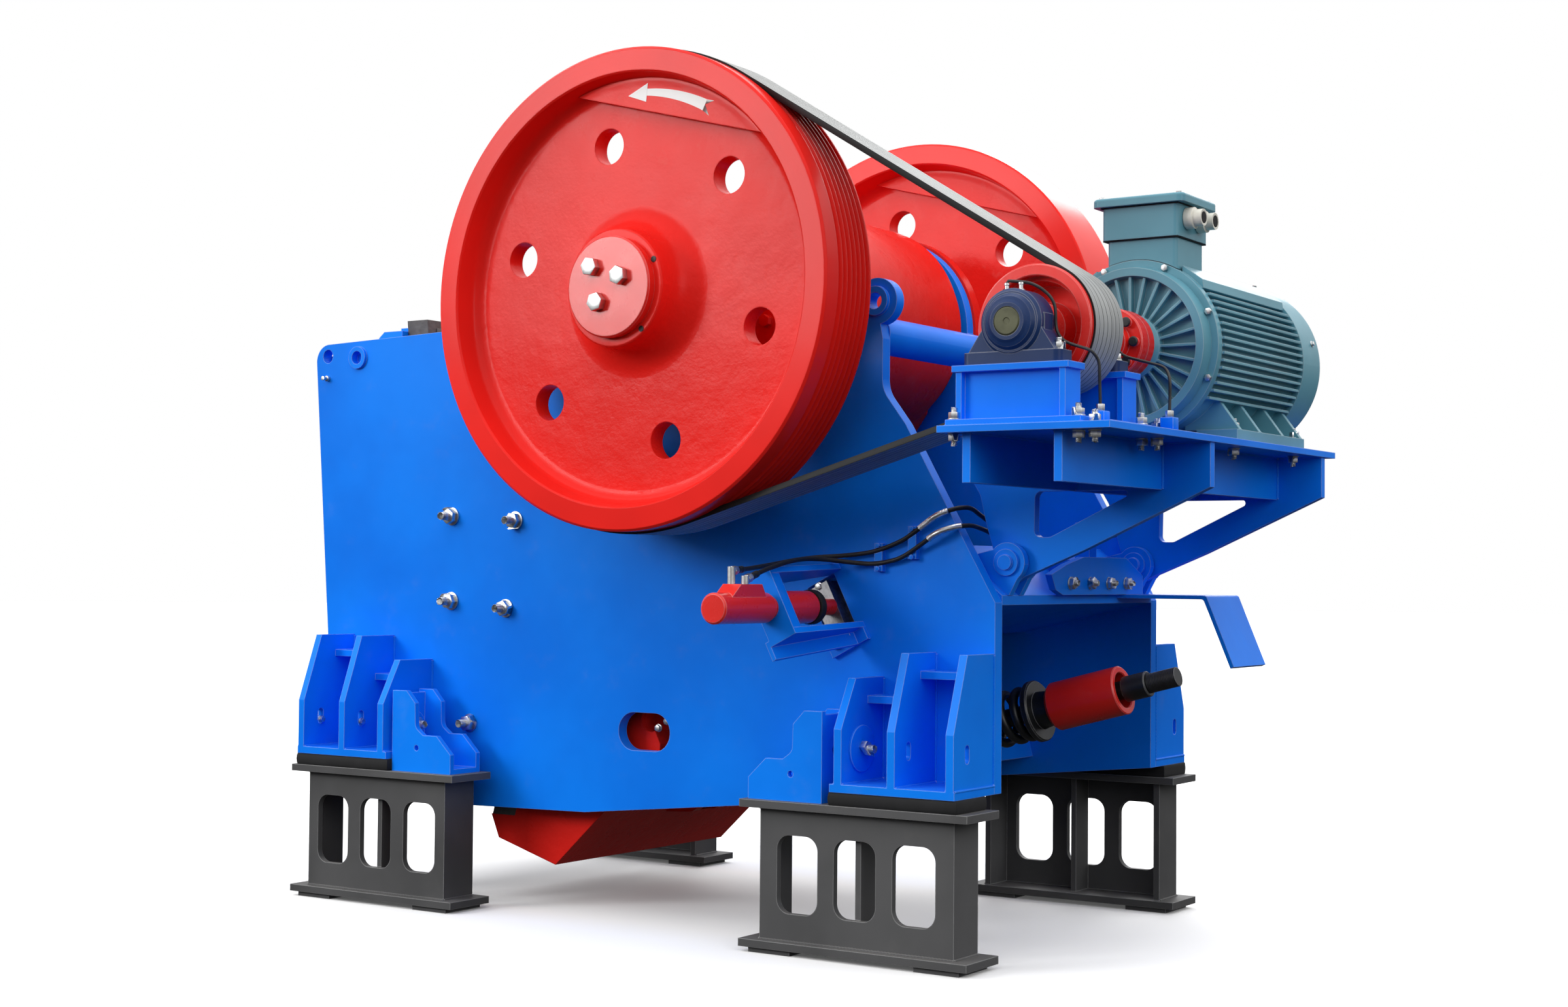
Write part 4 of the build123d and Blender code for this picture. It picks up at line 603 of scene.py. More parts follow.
def plate(radius, low, high, sides=24, edge=0.0):
    """A kept mesh: one disc."""
    shape = bmesh.new()
    disc(shape, radius, low, high, sides, edge)
    return keep(shape)


def turned(points, steps=32):
    """A kept mesh: a profile of (radius, height) points spun round the Z axis."""
    shape = bmesh.new()
    corners = [shape.verts.new((radius, 0, height)) for radius, height in points]
    lines = [shape.edges.new(pair) for pair in zip(corners, corners[1:])]
    bmesh.ops.spin(shape, geom=corners + lines, cent=(0, 0, 0), axis=(0, 0, 1), dvec=(0, 0, 0),
                   angle=math.tau, steps=steps, use_merge=True, use_duplicate=False)
    return keep(shape)


def ringed(radius, length, pitch, depth, sides=10, ragged=0.0):
    """A kept mesh: a bar on the Z axis whose radius goes in and out, as on a thread or a weld."""
    shape = bmesh.new()
    bmesh.ops.create_cone(shape, cap_ends=True, cap_tris=False, segments=sides, radius1=radius,
                          radius2=radius, depth=length, matrix=Matrix.Translation((0, 0, length / 2)))
    along = [line for line in shape.edges if abs(line.verts[0].co.z - line.verts[1].co.z) > length / 2]
    cuts = 2 * max(1, round(length / pitch)) - 1
    bmesh.ops.subdivide_edges(shape, edges=along, cuts=cuts, use_grid_fill=True)
    sizes = [1 - depth / radius * (ring % 2) + dice.uniform(-ragged, ragged) for ring in range(cuts + 2)]
    for corner in shape.verts:
        ring = round(corner.co.z / length * (cuts + 1))
        corner.co.xy *= sizes[ring]
    return keep(shape)


def coil(radius, wire, stretches, steps=28, sides=10):
    """A kept mesh: a wire wound on the Z axis, in stretches of (turns, rise of each turn)."""
    shape = bmesh.new()
    place = Matrix.Translation((radius, 0, 0)) @ Matrix.Rotation(math.pi / 2, 4, "X")
    bmesh.ops.create_circle(shape, cap_ends=False, segments=sides, radius=wire, matrix=place)
    last = list(shape.verts) + list(shape.edges)
    for turns, rise in stretches:
        count = max(1, round(turns * steps))
        last = bmesh.ops.spin(shape, geom=last, cent=(0, 0, 0), axis=(0, 0, 1),
                              dvec=(0, 0, rise * turns / count), angle=math.tau * turns, steps=count,
                              use_merge=False, use_duplicate=False)["geom_last"]
    bmesh.ops.remove_doubles(shape, verts=shape.verts, dist=0.01)
    bmesh.ops.holes_fill(shape, edges=shape.edges, sides=sides)
    return keep(shape)


def both_sides(spots):
    """The same spots on the near and the far side of the machine."""
    return spots + [((x, -y, z), (dx, -dy, dz)) for (x, y, z), (dx, dy, dz) in spots]


def bolt_circle(count, radius, middle, first=0.5):
    """Spots spread evenly on an upright circle, the first at a share of a pitch, facing outwards."""
    x, y, z = middle
    spots = []
    for index in range(count):
        angle = math.tau * (index + first) / count
        spots.append(((x + radius * math.cos(angle), y, z + radius * math.sin(angle)), OUT))
    return spots


def stood(name, kind, place, direction, finish, body, crease=32):
    """One kept mesh as a piece of its own, on a drawing point along a direction."""
    shape = bmesh.new()
    add_copy(shape, kind, aim(place, direction))
    return settle(name, shape, finish, body, crease)


def fasten(name, kind, spots, finish, body="frame"):
    """Copies of a fastener, each standing on a drawing point along a direction."""
    shape = bmesh.new()
    for place, direction in spots:
        spin = Matrix.Rotation(dice.uniform(0, math.tau), 4, "Z")
        add_copy(shape, kind, aim(place, direction) @ spin)
    return settle(name, shape, finish, body)


# %% [markdown]
# ## Bolts and nuts
# A nut is a hexagon with its corners knocked off, on a washer, with the end of a threaded stud
# standing out. The thread is a bar with rings, because a true helix can't be told from rings at
# this size and costs many more faces.

# %% Kinds of bolts and nuts
HALF_FLAT = math.cos(math.pi / 6)


def fastener(washer, across, height, stud=0.0, reach=0.0, thickness=4.0):
    """A washer, a hexagon measured across its flats, and the end of a stud."""
    shape = bmesh.new()
    low = 0.0
    if washer:
        disc(shape, washer / 2, 0, thickness, sides=28, edge=0.6)
        low = thickness
    disc(shape, across / 2 / HALF_FLAT, low, low + height, sides=6, edge=height * 0.09)
    if reach:
        thread = ringed(stud / 2, reach + 2, pitch=4.0, depth=1.3, sides=14)
        add_copy(shape, thread, Matrix.Translation((0, 0, low + height - 2)))
    return keep(shape)


SIDE_NUT = fastener(washer=72, across=54, height=26, stud=32, reach=40, thickness=6)
CAP_BOLT = fastener(washer=0, across=58, height=28)
FLANGE_NUT = fastener(washer=46, across=38, height=18, stud=22, reach=14)
SMALL_BOLT = fastener(washer=30, across=22, height=11)
TINY_BOLT = fastener(washer=0, across=16, height=8)
DECK_NUT = fastener(washer=42, across=32, height=20, stud=20, reach=16)
HOUSING_BOLT = fastener(washer=50, across=40, height=22)
STOP_BOLT = fastener(washer=0, across=48, height=22, stud=30, reach=26)
CLAMP_BOLT = fastener(washer=66, across=52, height=26)

# %% [markdown]
# ## Bolts on the frame
# The cheek plates' bolts come through the side plates as long studs. The wedge brackets, the stops,
# the clamp block, the rear bracket and the bearing housings are bolted on too. Painted bolts were
# sprayed with the machine, and the zinc ones were fitted after it.

# %% Bolts on the frame
PLATE_FACE = 663
FEET_LEVEL = 570
cheek_spots = [((x, -PLATE_FACE, z), OUT) for x, z in (
    (-1224, 1521), (-894, 1503), (-1222, 1184), (-938, 1160), (-1117, 705))]
fasten("cheek_nuts", SIDE_NUT, both_sides(cheek_spots), ZINC)

flange_spots = [((x, -PLATE_FACE - 18, z), OUT) for x, z in ((595, 1064), (645, 1093))]
wall_spots = [((x, -PLATE_FACE, z), OUT) for x, z in ((515, 1260), (567, 1171))]
rear_bracket_spots = [((1252, y, 1280), REAR) for y in (-167, -5, 150, 300)]
fasten("bracket_nuts", FLANGE_NUT, both_sides(flange_spots) + rear_bracket_spots, ZINC)
fasten("bracket_wall_bolts", SMALL_BOLT, both_sides(wall_spots), ZINC)

STOP_Y, STOP_Z = -830, 704
FOOT_PLATE_THICKNESS = 8
stop_spots = [((-1250, STOP_Y, STOP_Z), REAR), ((645, STOP_Y, STOP_Z), FRONT)]
fasten("stop_bolts", STOP_BOLT, both_sides(stop_spots), ZINC)
foot_spots = [((782, STOP_Y + 18, STOP_Z + 8), REAR), ((-1351, STOP_Y + 18, STOP_Z + 8), FRONT)]
foot_plate = plate(80, 0, FOOT_PLATE_THICKNESS, sides=40, edge=1.5)
fasten("foot_stop_plates", foot_plate, both_sides(foot_spots), FRAME_BLUE)
nut_spots = [((x + dx * FOOT_PLATE_THICKNESS, y, z), (dx, dy, dz)) for (x, y, z), (dx, dy, dz) in foot_spots]
fasten("foot_stop_nuts", STOP_BOLT, both_sides(nut_spots), ZINC)

slot_spots = [((x, -848, 702), REAR) for x in (-1752, -1529)]
fasten("foot_slot_bolts", SMALL_BOLT, both_sides(slot_spots), ZINC)

clamp_spots = [((-1605, y + across, 2311), UP) for y in (-420, 0, 420) for across in (-52, 52)]
fasten("clamp_block_bolts", CLAMP_BOLT, clamp_spots, FRAME_BLUE)

HOUSING_FACE = -744
HOUSING_CIRCLE = 348
housing_spots = both_sides(bolt_circle(12, HOUSING_CIRCLE, (0, HOUSING_FACE, SHAFT_Z)))
fasten("housing_bolts", HOUSING_BOLT, housing_spots, CAST_RED)

CLIP_FACE = -PLATE_FACE - 24
clip_spots = [((x, CLIP_FACE, z), OUT) for x, z in ((770, 1406), (770, 1326), (905, 1464), (905, 1366))]
fasten("clip_screws", TINY_BOLT, both_sides(clip_spots), FRAME_BLUE)
nipple = turned(((0, 0), (12, 0), (12, 10), (7, 13), (7, 24), (9, 26), (9, 32), (0, 34)), 16)
fasten("front_nipples", nipple, both_sides([((-1926, -PLATE_FACE, 2101), OUT)]), ZINC)

# %% [markdown]
# ## Bolts on the wheels' hubs
# Each shaft cap is held by three large bolts, not quite evenly spread. Two set screws sit in the
# ring of the hub around the cap. These turn with the shaft, so they ride on its body.

# %% Bolts on the wheels' hubs
CAP_FACE = 1240
HUB_FACE = 1205
SCREW_CIRCLE = 193
cap_spots = [((x, -CAP_FACE, z), OUT) for x, z in ((-67, 2368), (57, 2330), (-39, 2243))]
fasten("cap_bolts", CAP_BOLT, both_sides(cap_spots), ZINC, body="rotor")
screw = turned(((0, 1.2), (7, 1.2), (7, 2.2), (10, 2.2), (11, 1.2), (11, 0)), 20)
screw_spots = []
for turn in (27, -51):
    angle = math.radians(turn)
    x, rise = SCREW_CIRCLE * math.cos(angle), SCREW_CIRCLE * math.sin(angle)
    screw_spots.append(((x, -HUB_FACE, SHAFT_Z + rise), OUT))
fasten("hub_set_screws", screw, both_sides(screw_spots), DARK_STEEL, body="rotor")

# %% [markdown]
# ## The arrow on the wheel
# A plain white arrow shows which way the wheel turns. Its shaft is an edge spun round the wheel's
# axis, so it follows the rim, and its head is a triangle. It lies a millimetre off the casting.

# %% The arrow on the wheel
ARROW_FACE = -1113.6
ARROW_RADIUS = 698
ARROW_START, ARROW_END = 63.0, 84.5


def wheel_arrow():
    """A curved arrow on the near wheel's counterweight."""
    shape = bmesh.new()
    start, end = ARROW_START, ARROW_END

    def on_wheel(radius, degrees):
        angle = math.radians(degrees)
        return shape.verts.new((radius * math.cos(angle), ARROW_FACE, SHAFT_Z + radius * math.sin(angle)))

    low, high = on_wheel(ARROW_RADIUS - 15, start), on_wheel(ARROW_RADIUS + 15, start)
    line = shape.edges.new((low, high))
    bmesh.ops.spin(shape, geom=[low, high, line], cent=(0, ARROW_FACE, SHAFT_Z), axis=(0, -1, 0),
                   dvec=(0, 0, 0), angle=math.radians(end - start), steps=14, use_merge=False,
                   use_duplicate=False)
    for corner in shape.verts:
        spoke = Vector((corner.co.x, 0, corner.co.z - SHAFT_Z))
        rise = math.hypot(spoke.x, spoke.z) - ARROW_RADIUS
        reach = (math.degrees(math.atan2(spoke.z, spoke.x)) - start) / (end - start)
        corner.co += spoke.normalized() * rise * (0.35 - 0.55 * reach)
    head = ((664, end), (690, end + 6.8), (730, end))
    high_barb = ((678, start), (718, start), (726, start - 2.4), (700, start))
    low_barb = ((678, start), (700, start), (672, start - 2.8))
    for points in (head, high_barb, low_barb):
        shape.faces.new([on_wheel(*point) for point in points])
    bmesh.ops.recalc_face_normals(shape, faces=shape.faces)
    bmesh.ops.solidify(shape, geom=shape.faces, thickness=0.5)
    return settle("turning_arrow", shape, ARROW_WHITE, "rotor")


wheel_arrow()

# %% [markdown]
# ## The belts
# Seven V belts lie in the grooves. One section of six corners makes each: it is spun round the
# wheel, drawn along to the pulley, spun round that and drawn back to where it began. The faces
# that look outwards get the pale, worn finish of the belts' backs.

# %% The belts
WHEEL_RADIUS = 850
PULLEY_RADIUS = 198
BELT_COUNT = 7
BELT_PITCH = 29
FIRST_GROOVE = -1075.5
BELT_SECTION = ((7, -13.2), (7, 13.2), (5, 13.7), (-15, 5), (-15, -5), (5, -13.7))


def drawn_along(shape, last, step):
    """Extrude the last ring of edges along a straight run."""
    lines = [piece for piece in last if isinstance(piece, bmesh.types.BMEdge)]
    made = bmesh.ops.extrude_edge_only(shape, edges=lines)["geom"]
    corners = [piece for piece in made if isinstance(piece, bmesh.types.BMVert)]
    bmesh.ops.translate(shape, verts=corners, vec=step)
    return made


def belts():
    """All seven belts as one piece."""
    shape = bmesh.new()
    wheel, pulley = Vector((0, 0, SHAFT_Z)), Vector((DRIVE_X, 0, DRIVE_Z))
    line = pulley - wheel
    slope = math.atan2(line.z, line.x)
    lean = math.acos((WHEEL_RADIUS - PULLEY_RADIUS) / line.length)
    high, low = slope + lean, slope - lean
    for index in range(BELT_COUNT):
        y = FIRST_GROOVE + index * BELT_PITCH
        corners = []
        for proud, across in BELT_SECTION:
            radius = WHEEL_RADIUS + proud
            x, rise = radius * math.cos(high), radius * math.sin(high)
            corners.append(shape.verts.new((x, y + across, SHAFT_Z + rise)))
        ring = [shape.edges.new(pair) for pair in zip(corners, corners[1:] + corners[:1])]
        last = bmesh.ops.spin(shape, geom=corners + ring, cent=wheel, axis=(0, -1, 0), dvec=(0, 0, 0),
                              angle=math.tau - high + low, steps=90, use_merge=False,
                              use_duplicate=False)["geom_last"]
        radial = Vector((math.cos(low), 0, math.sin(low)))
        last = drawn_along(shape, last, line + radial * (PULLEY_RADIUS - WHEEL_RADIUS))
        last = [piece for piece in last if not isinstance(piece, bmesh.types.BMFace)]
        ends = {corner for corner in last if isinstance(corner, bmesh.types.BMVert)}
        last = [piece for piece in last if piece in ends or (
            isinstance(piece, bmesh.types.BMEdge) and set(piece.verts) <= ends)]
        last = bmesh.ops.spin(shape, geom=last, cent=pulley, axis=(0, -1, 0), dvec=(0, 0, 0),
                              angle=high - low, steps=36, use_merge=False, use_duplicate=False)["geom_last"]
        radial = Vector((math.cos(high), 0, math.sin(high)))
        drawn_along(shape, last, radial * (WHEEL_RADIUS - PULLEY_RADIUS) - line)
    bmesh.ops.remove_doubles(shape, verts=shape.verts, dist=0.05)
    bmesh.ops.recalc_face_normals(shape, faces=shape.faces)
    middle = (wheel + pulley) / 2
    for face in shape.faces:
        outwards = face.calc_center_median() - middle
        outwards.y = 0
        if abs(face.normal.y) < 0.6 and face.normal.dot(outwards) > 0:
            face.material_index = 1
    piece = settle("drive_belts", shape, (BELT_SIDE, BELT_BACK), "frame", 40)
    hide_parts("drive_belt")


belts()

# %% [markdown]
# ## The tension spring
# The spring pulls the jaw back against the toggle. Its wire is thicker than a thumb, and its end
# turns lie flat. A circle spun with a rise at each step winds it: slowly at the ends, and with a
# wide pitch between. It is squeezed a little when the jaw swings, but here it keeps one length.

# %% The tension spring
ROD_SLOPE = math.radians(14.8)
ROD_ALONG = Vector((math.cos(ROD_SLOPE), 0, math.sin(ROD_SLOPE)))
ROD_PLACE = Vector((1050, 0, 812))
SPRING_FRONT, SPRING_REAR = -385, -22
SPRING_RADIUS = 104
WIRE = 17
END_GAP = 1
END_TURNS = 0.75
WIDE_TURNS = 4.5


def on_rod(along):
    """A drawing point on the tension rod's line."""
    return ROD_PLACE + ROD_ALONG * along


def tension_spring():
    """The spring, wound from its front end along the tension rod."""
    length = SPRING_REAR - SPRING_FRONT - 2 * (WIRE + END_GAP)
    closed = 2.05 * WIRE
    pitch = (length - 2 * END_TURNS * closed) / WIDE_TURNS
    stretches = ((END_TURNS, closed), (WIDE_TURNS, pitch), (END_TURNS, closed))
    wound = coil(SPRING_RADIUS - WIRE, WIRE, stretches, steps=32, sides=14)
    place = on_rod(SPRING_FRONT + WIRE + END_GAP)
    piece = stood("spring_coils", wound, place, ROD_ALONG, BLACK_PAINT, "frame", 60)
    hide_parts("tension_spring")
    tuple(at(*on_rod(SPRING_FRONT)))
    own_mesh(piece)


tension_spring()
collar = turned(((34, 0), (43, 0), (46, 3), (46, 92), (43, 95), (34, 95)), 32)
stood("rod_collar", collar, on_rod(352), ROD_ALONG, BLACK_PAINT, "pull_rod")
thread = ringed(radius=35.2, length=108, pitch=6, depth=1.4, sides=28)
stood("rod_thread", thread, on_rod(450), ROD_ALONG, DARK_STEEL, "pull_rod")

# %% [markdown]
# ## Rubber pads
# The feet stand on rubber slabs that bulge a little under the weight. Each is a block whose upright
# edges are cut three times, and whose middle rings are pushed out.

# %% Rubber pads
PAD_SPANS = ((-1793, -1296), (727, 1224))
PAD_Y = (-940, -728)
PAD_Z = (525, 570)
PAD_BULGE = 3


def rubber_pads():
    """The four pads as one piece. The slabs are drawn smaller by what they bulge."""
    shape = bmesh.new()
    for span in PAD_SPANS:
        for side in (1, -1):
            length, width = span[1] - span[0], PAD_Y[1] - PAD_Y[0]
            size = Vector((length - 2 * PAD_BULGE, width - 2 * PAD_BULGE, PAD_Z[1] - PAD_Z[0]))
            middle = Vector((sum(span) / 2, side * sum(PAD_Y) / 2, sum(PAD_Z) / 2))
            upright = edges_of(box(shape, middle, size), True)
            bmesh.ops.subdivide_edges(shape, edges=upright, cuts=3, use_grid_fill=True)
            for corner in shape.verts:
                away = corner.co - middle
                if abs(away.x) < size.x and abs(away.y) < size.y:
                    bulge = PAD_BULGE * (1 - (away.z / (size.z / 2)) ** 2)
                    corner.co.x += math.copysign(bulge, away.x)
                    corner.co.y += math.copysign(bulge, away.y)
    soften(shape, [line for line in shape.edges if line.calc_face_angle(0) > 0.8], 3)
    piece = settle("rubber_pads", shape, RUBBER, "frame")
    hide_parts("mount_pads")


rubber_pads()

# %% [markdown]
# ## Tubes that follow a route
# Pipes and sleeves follow a few corners with round bends between them. A ring of points is carried
# along the route without twisting. Every second ring may be smaller, which looks like a wound wire.

# %% Tubes that follow a route


def bent(corners, share=0.45, bends=6):
    """The points of a route whose corners are rounded, each over a share of its shorter run."""
    corners = [Vector(corner) for corner in corners]
    points = [corners[0]]
    for before, here, after in zip(corners, corners[1:], corners[2:]):
        reach = share * min((here - before).length, (after - here).length)
        start = here + (before - here).normalized() * reach
        end = here + (after - here).normalized() * reach
        for index in range(bends + 1):
            part = index / bends
            points.append(start.lerp(here, part).lerp(here.lerp(end, part), part))
    return points + [corners[-1]]


def evenly(points, step):
    """The same route with a point at every step of its length."""
    even = [points[0]]
    left = step
    for start, end in zip(points, points[1:]):
        length = (end - start).length
        while length > left:
            start = start.lerp(end, left / length)
            length = (end - start).length
            even.append(start)
            left = step
        left -= length
    return even


def tube(shape, points, radius, ripple=0.0, sides=12):
    """A round tube along points, closed at both ends."""
    across = None
    last = None
    for index, place in enumerate(points):
        ahead = (points[min(index + 1, len(points) - 1)] - points[max(index - 1, 0)]).normalized()
        across = ahead.orthogonal() if across is None else across - ahead * across.dot(ahead)
        across.normalize()
        other = ahead.cross(across)
        size = radius - ripple * (index % 2)
        ring = []
        for corner in range(sides):
            angle = math.tau * corner / sides
            ring.append(shape.verts.new(place + (across * math.cos(angle) + other * math.sin(angle)) * size))
        if last:
            for corner in range(sides):
                after = (corner + 1) % sides
                shape.faces.new((last[corner], last[after], ring[after], ring[corner]))
        else:
            shape.faces.new(ring[::-1])
        last = ring
    shape.faces.new(last)


def mirrored(shape):
    """Add the far side's copy to what has been drawn on the near side."""
    copy = bmesh.ops.duplicate(shape, geom=shape.verts[:] + shape.edges[:] + shape.faces[:])["geom"]
    corners = [piece for piece in copy if isinstance(piece, bmesh.types.BMVert)]
    bmesh.ops.scale(shape, vec=(1, -1, 1), verts=corners)


# %% [markdown]
# ## On the hoses
# Each hose leaves its elbow through a nut and a crimped black ferrule. Where both go over the rear
# edge of the side plate, a wound wire guards them. They end in nuts on the block under the deck.

# %% On the hoses
UPPER_START = ((550, -1262, 1314), (536, -1130, 1322))
LOWER_START = ((590, -1240, 1284), (588, -1120, 1318))
UPPER_CLIMB = (
    (760, -684, 1384), (870, -684, 1424), (938, -687, 1467), (1010, -697, 1512), (1064, -661, 1534),
    (1085, -600, 1538),
)
LOWER_CLIMB = (
    (760, -686, 1340), (860, -686, 1360), (938, -696, 1404), (1018, -712, 1450), (1074, -687, 1470),
    (1104, -630, 1476),
)
shape = bmesh.new()
for climb, first_x, last_x in ((UPPER_CLIMB, 934, 1040), (LOWER_CLIMB, 980, 1084)):
    route = [point for point in evenly(bent(climb), 2.6) if first_x < point.x < last_x]
    tube(shape, route, 11.6, 1.6)
mirrored(shape)
settle("hose_guards", shape, ZINC, "frame", 60)

ferrule = turned((
    (8.2, 34), (10.6, 34), (12, 37), (12, 52), (11, 54), (11, 58), (12, 60), (12, 74), (10, 78), (8.2, 78),
), 20)
hose_nut = plate(15.5, 8, 32, sides=6, edge=1.6)
starts = [(start, Vector(second) - Vector(start)) for start, second in (UPPER_START, LOWER_START)]
starts = both_sides([(start, tuple(direction)) for start, direction in starts])
fasten("hose_ferrules", ferrule, starts, BLACK_PAINT)
ends = both_sides([((1086, -314, 1476), OUT), ((1092, -314, 1438), OUT)])
fasten("hose_nuts", hose_nut, starts + ends, ZINC)

# %% [markdown]
# ## On the wedge cylinders and the jaw
# A rubber ring seals each cylinder's end against the plate. Inside the slot in the side plate, two
# bolts show on the jaw's flank, and they move with it.

# %% On the wedge cylinders and the jaw
seal = turned(((48.5, 0), (58, 0), (61, 5), (61, 27), (58, 33), (48.5, 33)), 36)
fasten("cylinder_seals", seal, both_sides([((565, -784, 1190), OUT)]), RUBBER)
jaw_spots = [((-264, -560, 719), OUT), ((-223, -560, 746), OUT)]
fasten("jaw_bolts", SMALL_BOLT, both_sides(jaw_spots), ZINC, body="jaw")

# %% [markdown]
# ## The motor
# Bolts hold the end shield and the feet. Dark rubber strips lie above and below the terminal box: the
# upper is its lid's gasket and also stands for the shadow line under the lid, and the lower, where the
# box overhangs the neck, is painted shadow. Its two cable glands are pale plastic, and their dark holes
# are painted shade. A dark disc behind the cowl's rings is painted shade, standing for the dark inside
# of its opening.

# %% The motor
SHIELD_FACE = -350
COWL_FACE = 640
SHIELD_CIRCLE = 290
COWL_RADIUS = 313
COWL_SCREW_Y = 535
TERMINAL_X, TERMINAL_Y = 1600, -232
LID_TOP = DRIVE_Z + 518
MOTOR_FEET = [(x, y) for x in (1294, 1866) for y in (-173, 390)]
shield_spots = bolt_circle(8, SHIELD_CIRCLE, (DRIVE_X, SHIELD_FACE, DRIVE_Z))
fasten("shield_bolts", fastener(washer=0, across=21, height=13), shield_spots, ZINC)

foot_spots = [((x, y, DECK_TOP + 40), UP) for x, y in MOTOR_FEET]
under_spots = [((x, y, DECK_UNDER), DOWN) for x, y in MOTOR_FEET]
fasten("motor_foot_bolts", DECK_NUT, foot_spots + under_spots, ZINC)
lid_corners = [(TERMINAL_X + across, TERMINAL_Y + along) for across in (-142, 142) for along in (-124, 124)]
fasten("lid_bolts", TINY_BOLT, [((x, y, LID_TOP), UP) for x, y in lid_corners], ZINC)

shape = bmesh.new()
# Painted shadow: the upper strip is the lid's gasket and also darkens the shadow line under the lid; the
# lower one is only the shadow under the box's overhanging ledge.
for low, high, half_x, half_y in ((484, 489, 143, 131), (371, 376, 137, 123)):
    middle = (TERMINAL_X, TERMINAL_Y, DRIVE_Z + (low + high) / 2)
    box(shape, middle, (2 * half_x, 2 * half_y, high - low))
settle("box_gasket_and_painted_shadow", shape, RUBBER, "frame")

gland = turned(((0, 63), (21, 63), (24, 64), (29, 64), (29, 62), (29, 34), (37, 32), (37, 3), (34, 0)), 24)
gland_spots = [((TERMINAL_X + 140, TERMINAL_Y + y, DRIVE_Z + 440), REAR) for y in (-55, 45)]
fasten("cable_glands", gland, gland_spots, GLAND)
# Painted shade: a black disc on each gland's end stands for the dark inside of its hole.
gland_hole_shade = turned(((0, 64.6), (20, 64.6), (20, 63)), 20)
fasten("gland_holes_painted_shade", gland_hole_shade, gland_spots, RUBBER)

grille = bmesh.new()
for radius in range(60, 251, 19):
    ring = turned(((radius - 3, 0.5), (radius - 2, 4), (radius + 2, 4), (radius + 3, 0.5)), 56)
    add_copy(grille, ring, Matrix())
for index in range(12):
    spoke = box(grille, (155, 0, 3), (195, 5, 5))
    bmesh.ops.transform(grille, matrix=Matrix.Rotation(math.tau * index / 12, 4, "Z"), verts=spoke)
disc(grille, 62, 0.5, 4.5, sides=40, edge=1)
cowl_end = [((DRIVE_X, COWL_FACE, DRIVE_Z), BACK)]
fasten("cowl_grille", keep(grille), cowl_end, MOTOR_TEAL)
# Painted shade: a black disc behind the grille stands for the dark inside of the cowl's opening.
fasten("cowl_opening_painted_shade", plate(252, 0, 0.6, sides=64), cowl_end, RUBBER)
cowl_spots = []
for index in range(6):
    angle = math.tau * (index + 0.25) / 6
    away = (math.cos(angle), 0, math.sin(angle))
    place = (DRIVE_X + COWL_RADIUS * away[0], COWL_SCREW_Y, DRIVE_Z + COWL_RADIUS * away[2])
    cowl_spots.append((place, away))
cowl_screw = fastener(washer=24, across=15, height=7, thickness=2.5)
fasten("cowl_screws", cowl_screw, cowl_spots, ZINC)

# %% [markdown]
# ## The layshaft's bearings and their deck
# Each pillow block is bolted through its pedestal. Grease nipples stand on the near cover, and thin
# pipes lead grease down to a block on the deck's edge. The shaft's own end is dark with old grease.

# %% The layshaft's bearings and their deck
PILLOW_MIDDLES = (-1212, -805)
PEDESTAL_TOP, PEDESTAL_UNDER = 1993, 1935
NEAR_COVER = -1284
COUPLING_FACE = -566
COUPLING_CIRCLE = 92
DECK_BOLTS = (
    (1388, -1264, 1787), (1806, -1252, 1787), (1806, -797, 1787), (1860, -1252, 1767), (1860, -797, 1767),
)
pillow_spots, deck_spots = [], []
for y in PILLOW_MIDDLES:
    for x in (DRIVE_X - 140, DRIVE_X + 140):
        pillow_spots += [((x, y, PEDESTAL_TOP), UP), ((x, y, PEDESTAL_UNDER), DOWN)]
fasten("pillow_bolts", DECK_NUT, pillow_spots, ZINC)
for x, y, z in DECK_BOLTS:
    deck_spots += [((x, y, z), UP), ((x, y, DECK_UNDER), DOWN)]
fasten("deck_bolts", DECK_NUT, deck_spots, ZINC)

shaft_end = turned(((0, 4), (9, 4), (11, 6), (40, 6), (44, 3), (44, 0)), 40)
fasten("layshaft_end", shaft_end, [((DRIVE_X, NEAR_COVER, DRIVE_Z), OUT)], GREASED, body="layshaft")
pin_head = turned(((0, 5), (13, 5), (17, 2), (17, 0)), 20)
pin_spots = bolt_circle(8, COUPLING_CIRCLE, (DRIVE_X, COUPLING_FACE, DRIVE_Z), 0)
fasten("coupling_pin_heads", pin_head, pin_spots, DARK_STEEL, body="layshaft")

fasten("grease_nipples", nipple, [((x, y, 2176), UP) for x in (1542, 1591) for y in PILLOW_MIDDLES], ZINC)
PIPES = (
    ((1542, -1212, 2200), (1542, -1212, 2216), (1632, -1204, 2205), (1692, -1180, 2150), (1694, -1180, 2030),
     (1815, -1180, 1990), (1830, -1160, 1960), (1830, -1150, 1800)),
    ((1591, -805, 2200), (1591, -805, 2214), (1660, -790, 2200), (1700, -772, 2140), (1702, -772, 2020),
     (1880, -780, 1970), (1905, -800, 1930), (1905, -805, 1800)),
)
shape = bmesh.new()
for route in PIPES:
    tube(shape, evenly(bent(route), 9), 5)
settle("grease_pipes", shape, DARK_STEEL, "frame", 60)
PIPE_ENDS = [(1830, -1150, DECK_TOP), (1905, -805, DECK_TOP)]
pipe_nut = plate(13, 40, 62, sides=6, edge=1.5)
fasten("grease_pipe_nuts", pipe_nut, [(end, UP) for end in PIPE_ENDS], ZINC)
shape = bmesh.new()
for x, y, z in PIPE_ENDS:
    box(shape, (x, y, z + 20), (44, 44, 40))
soften(shape, shape.edges[:], 2)
settle("grease_blocks", shape, FRAME_BLUE, "frame")

# %% [markdown]
# ## Weld beads
# Plates that meet are joined by fillet welds. A bead is a thin ringed bar laid into the corner, with
# a slightly ragged size, because each stitch of the torch leaves its own ripple.

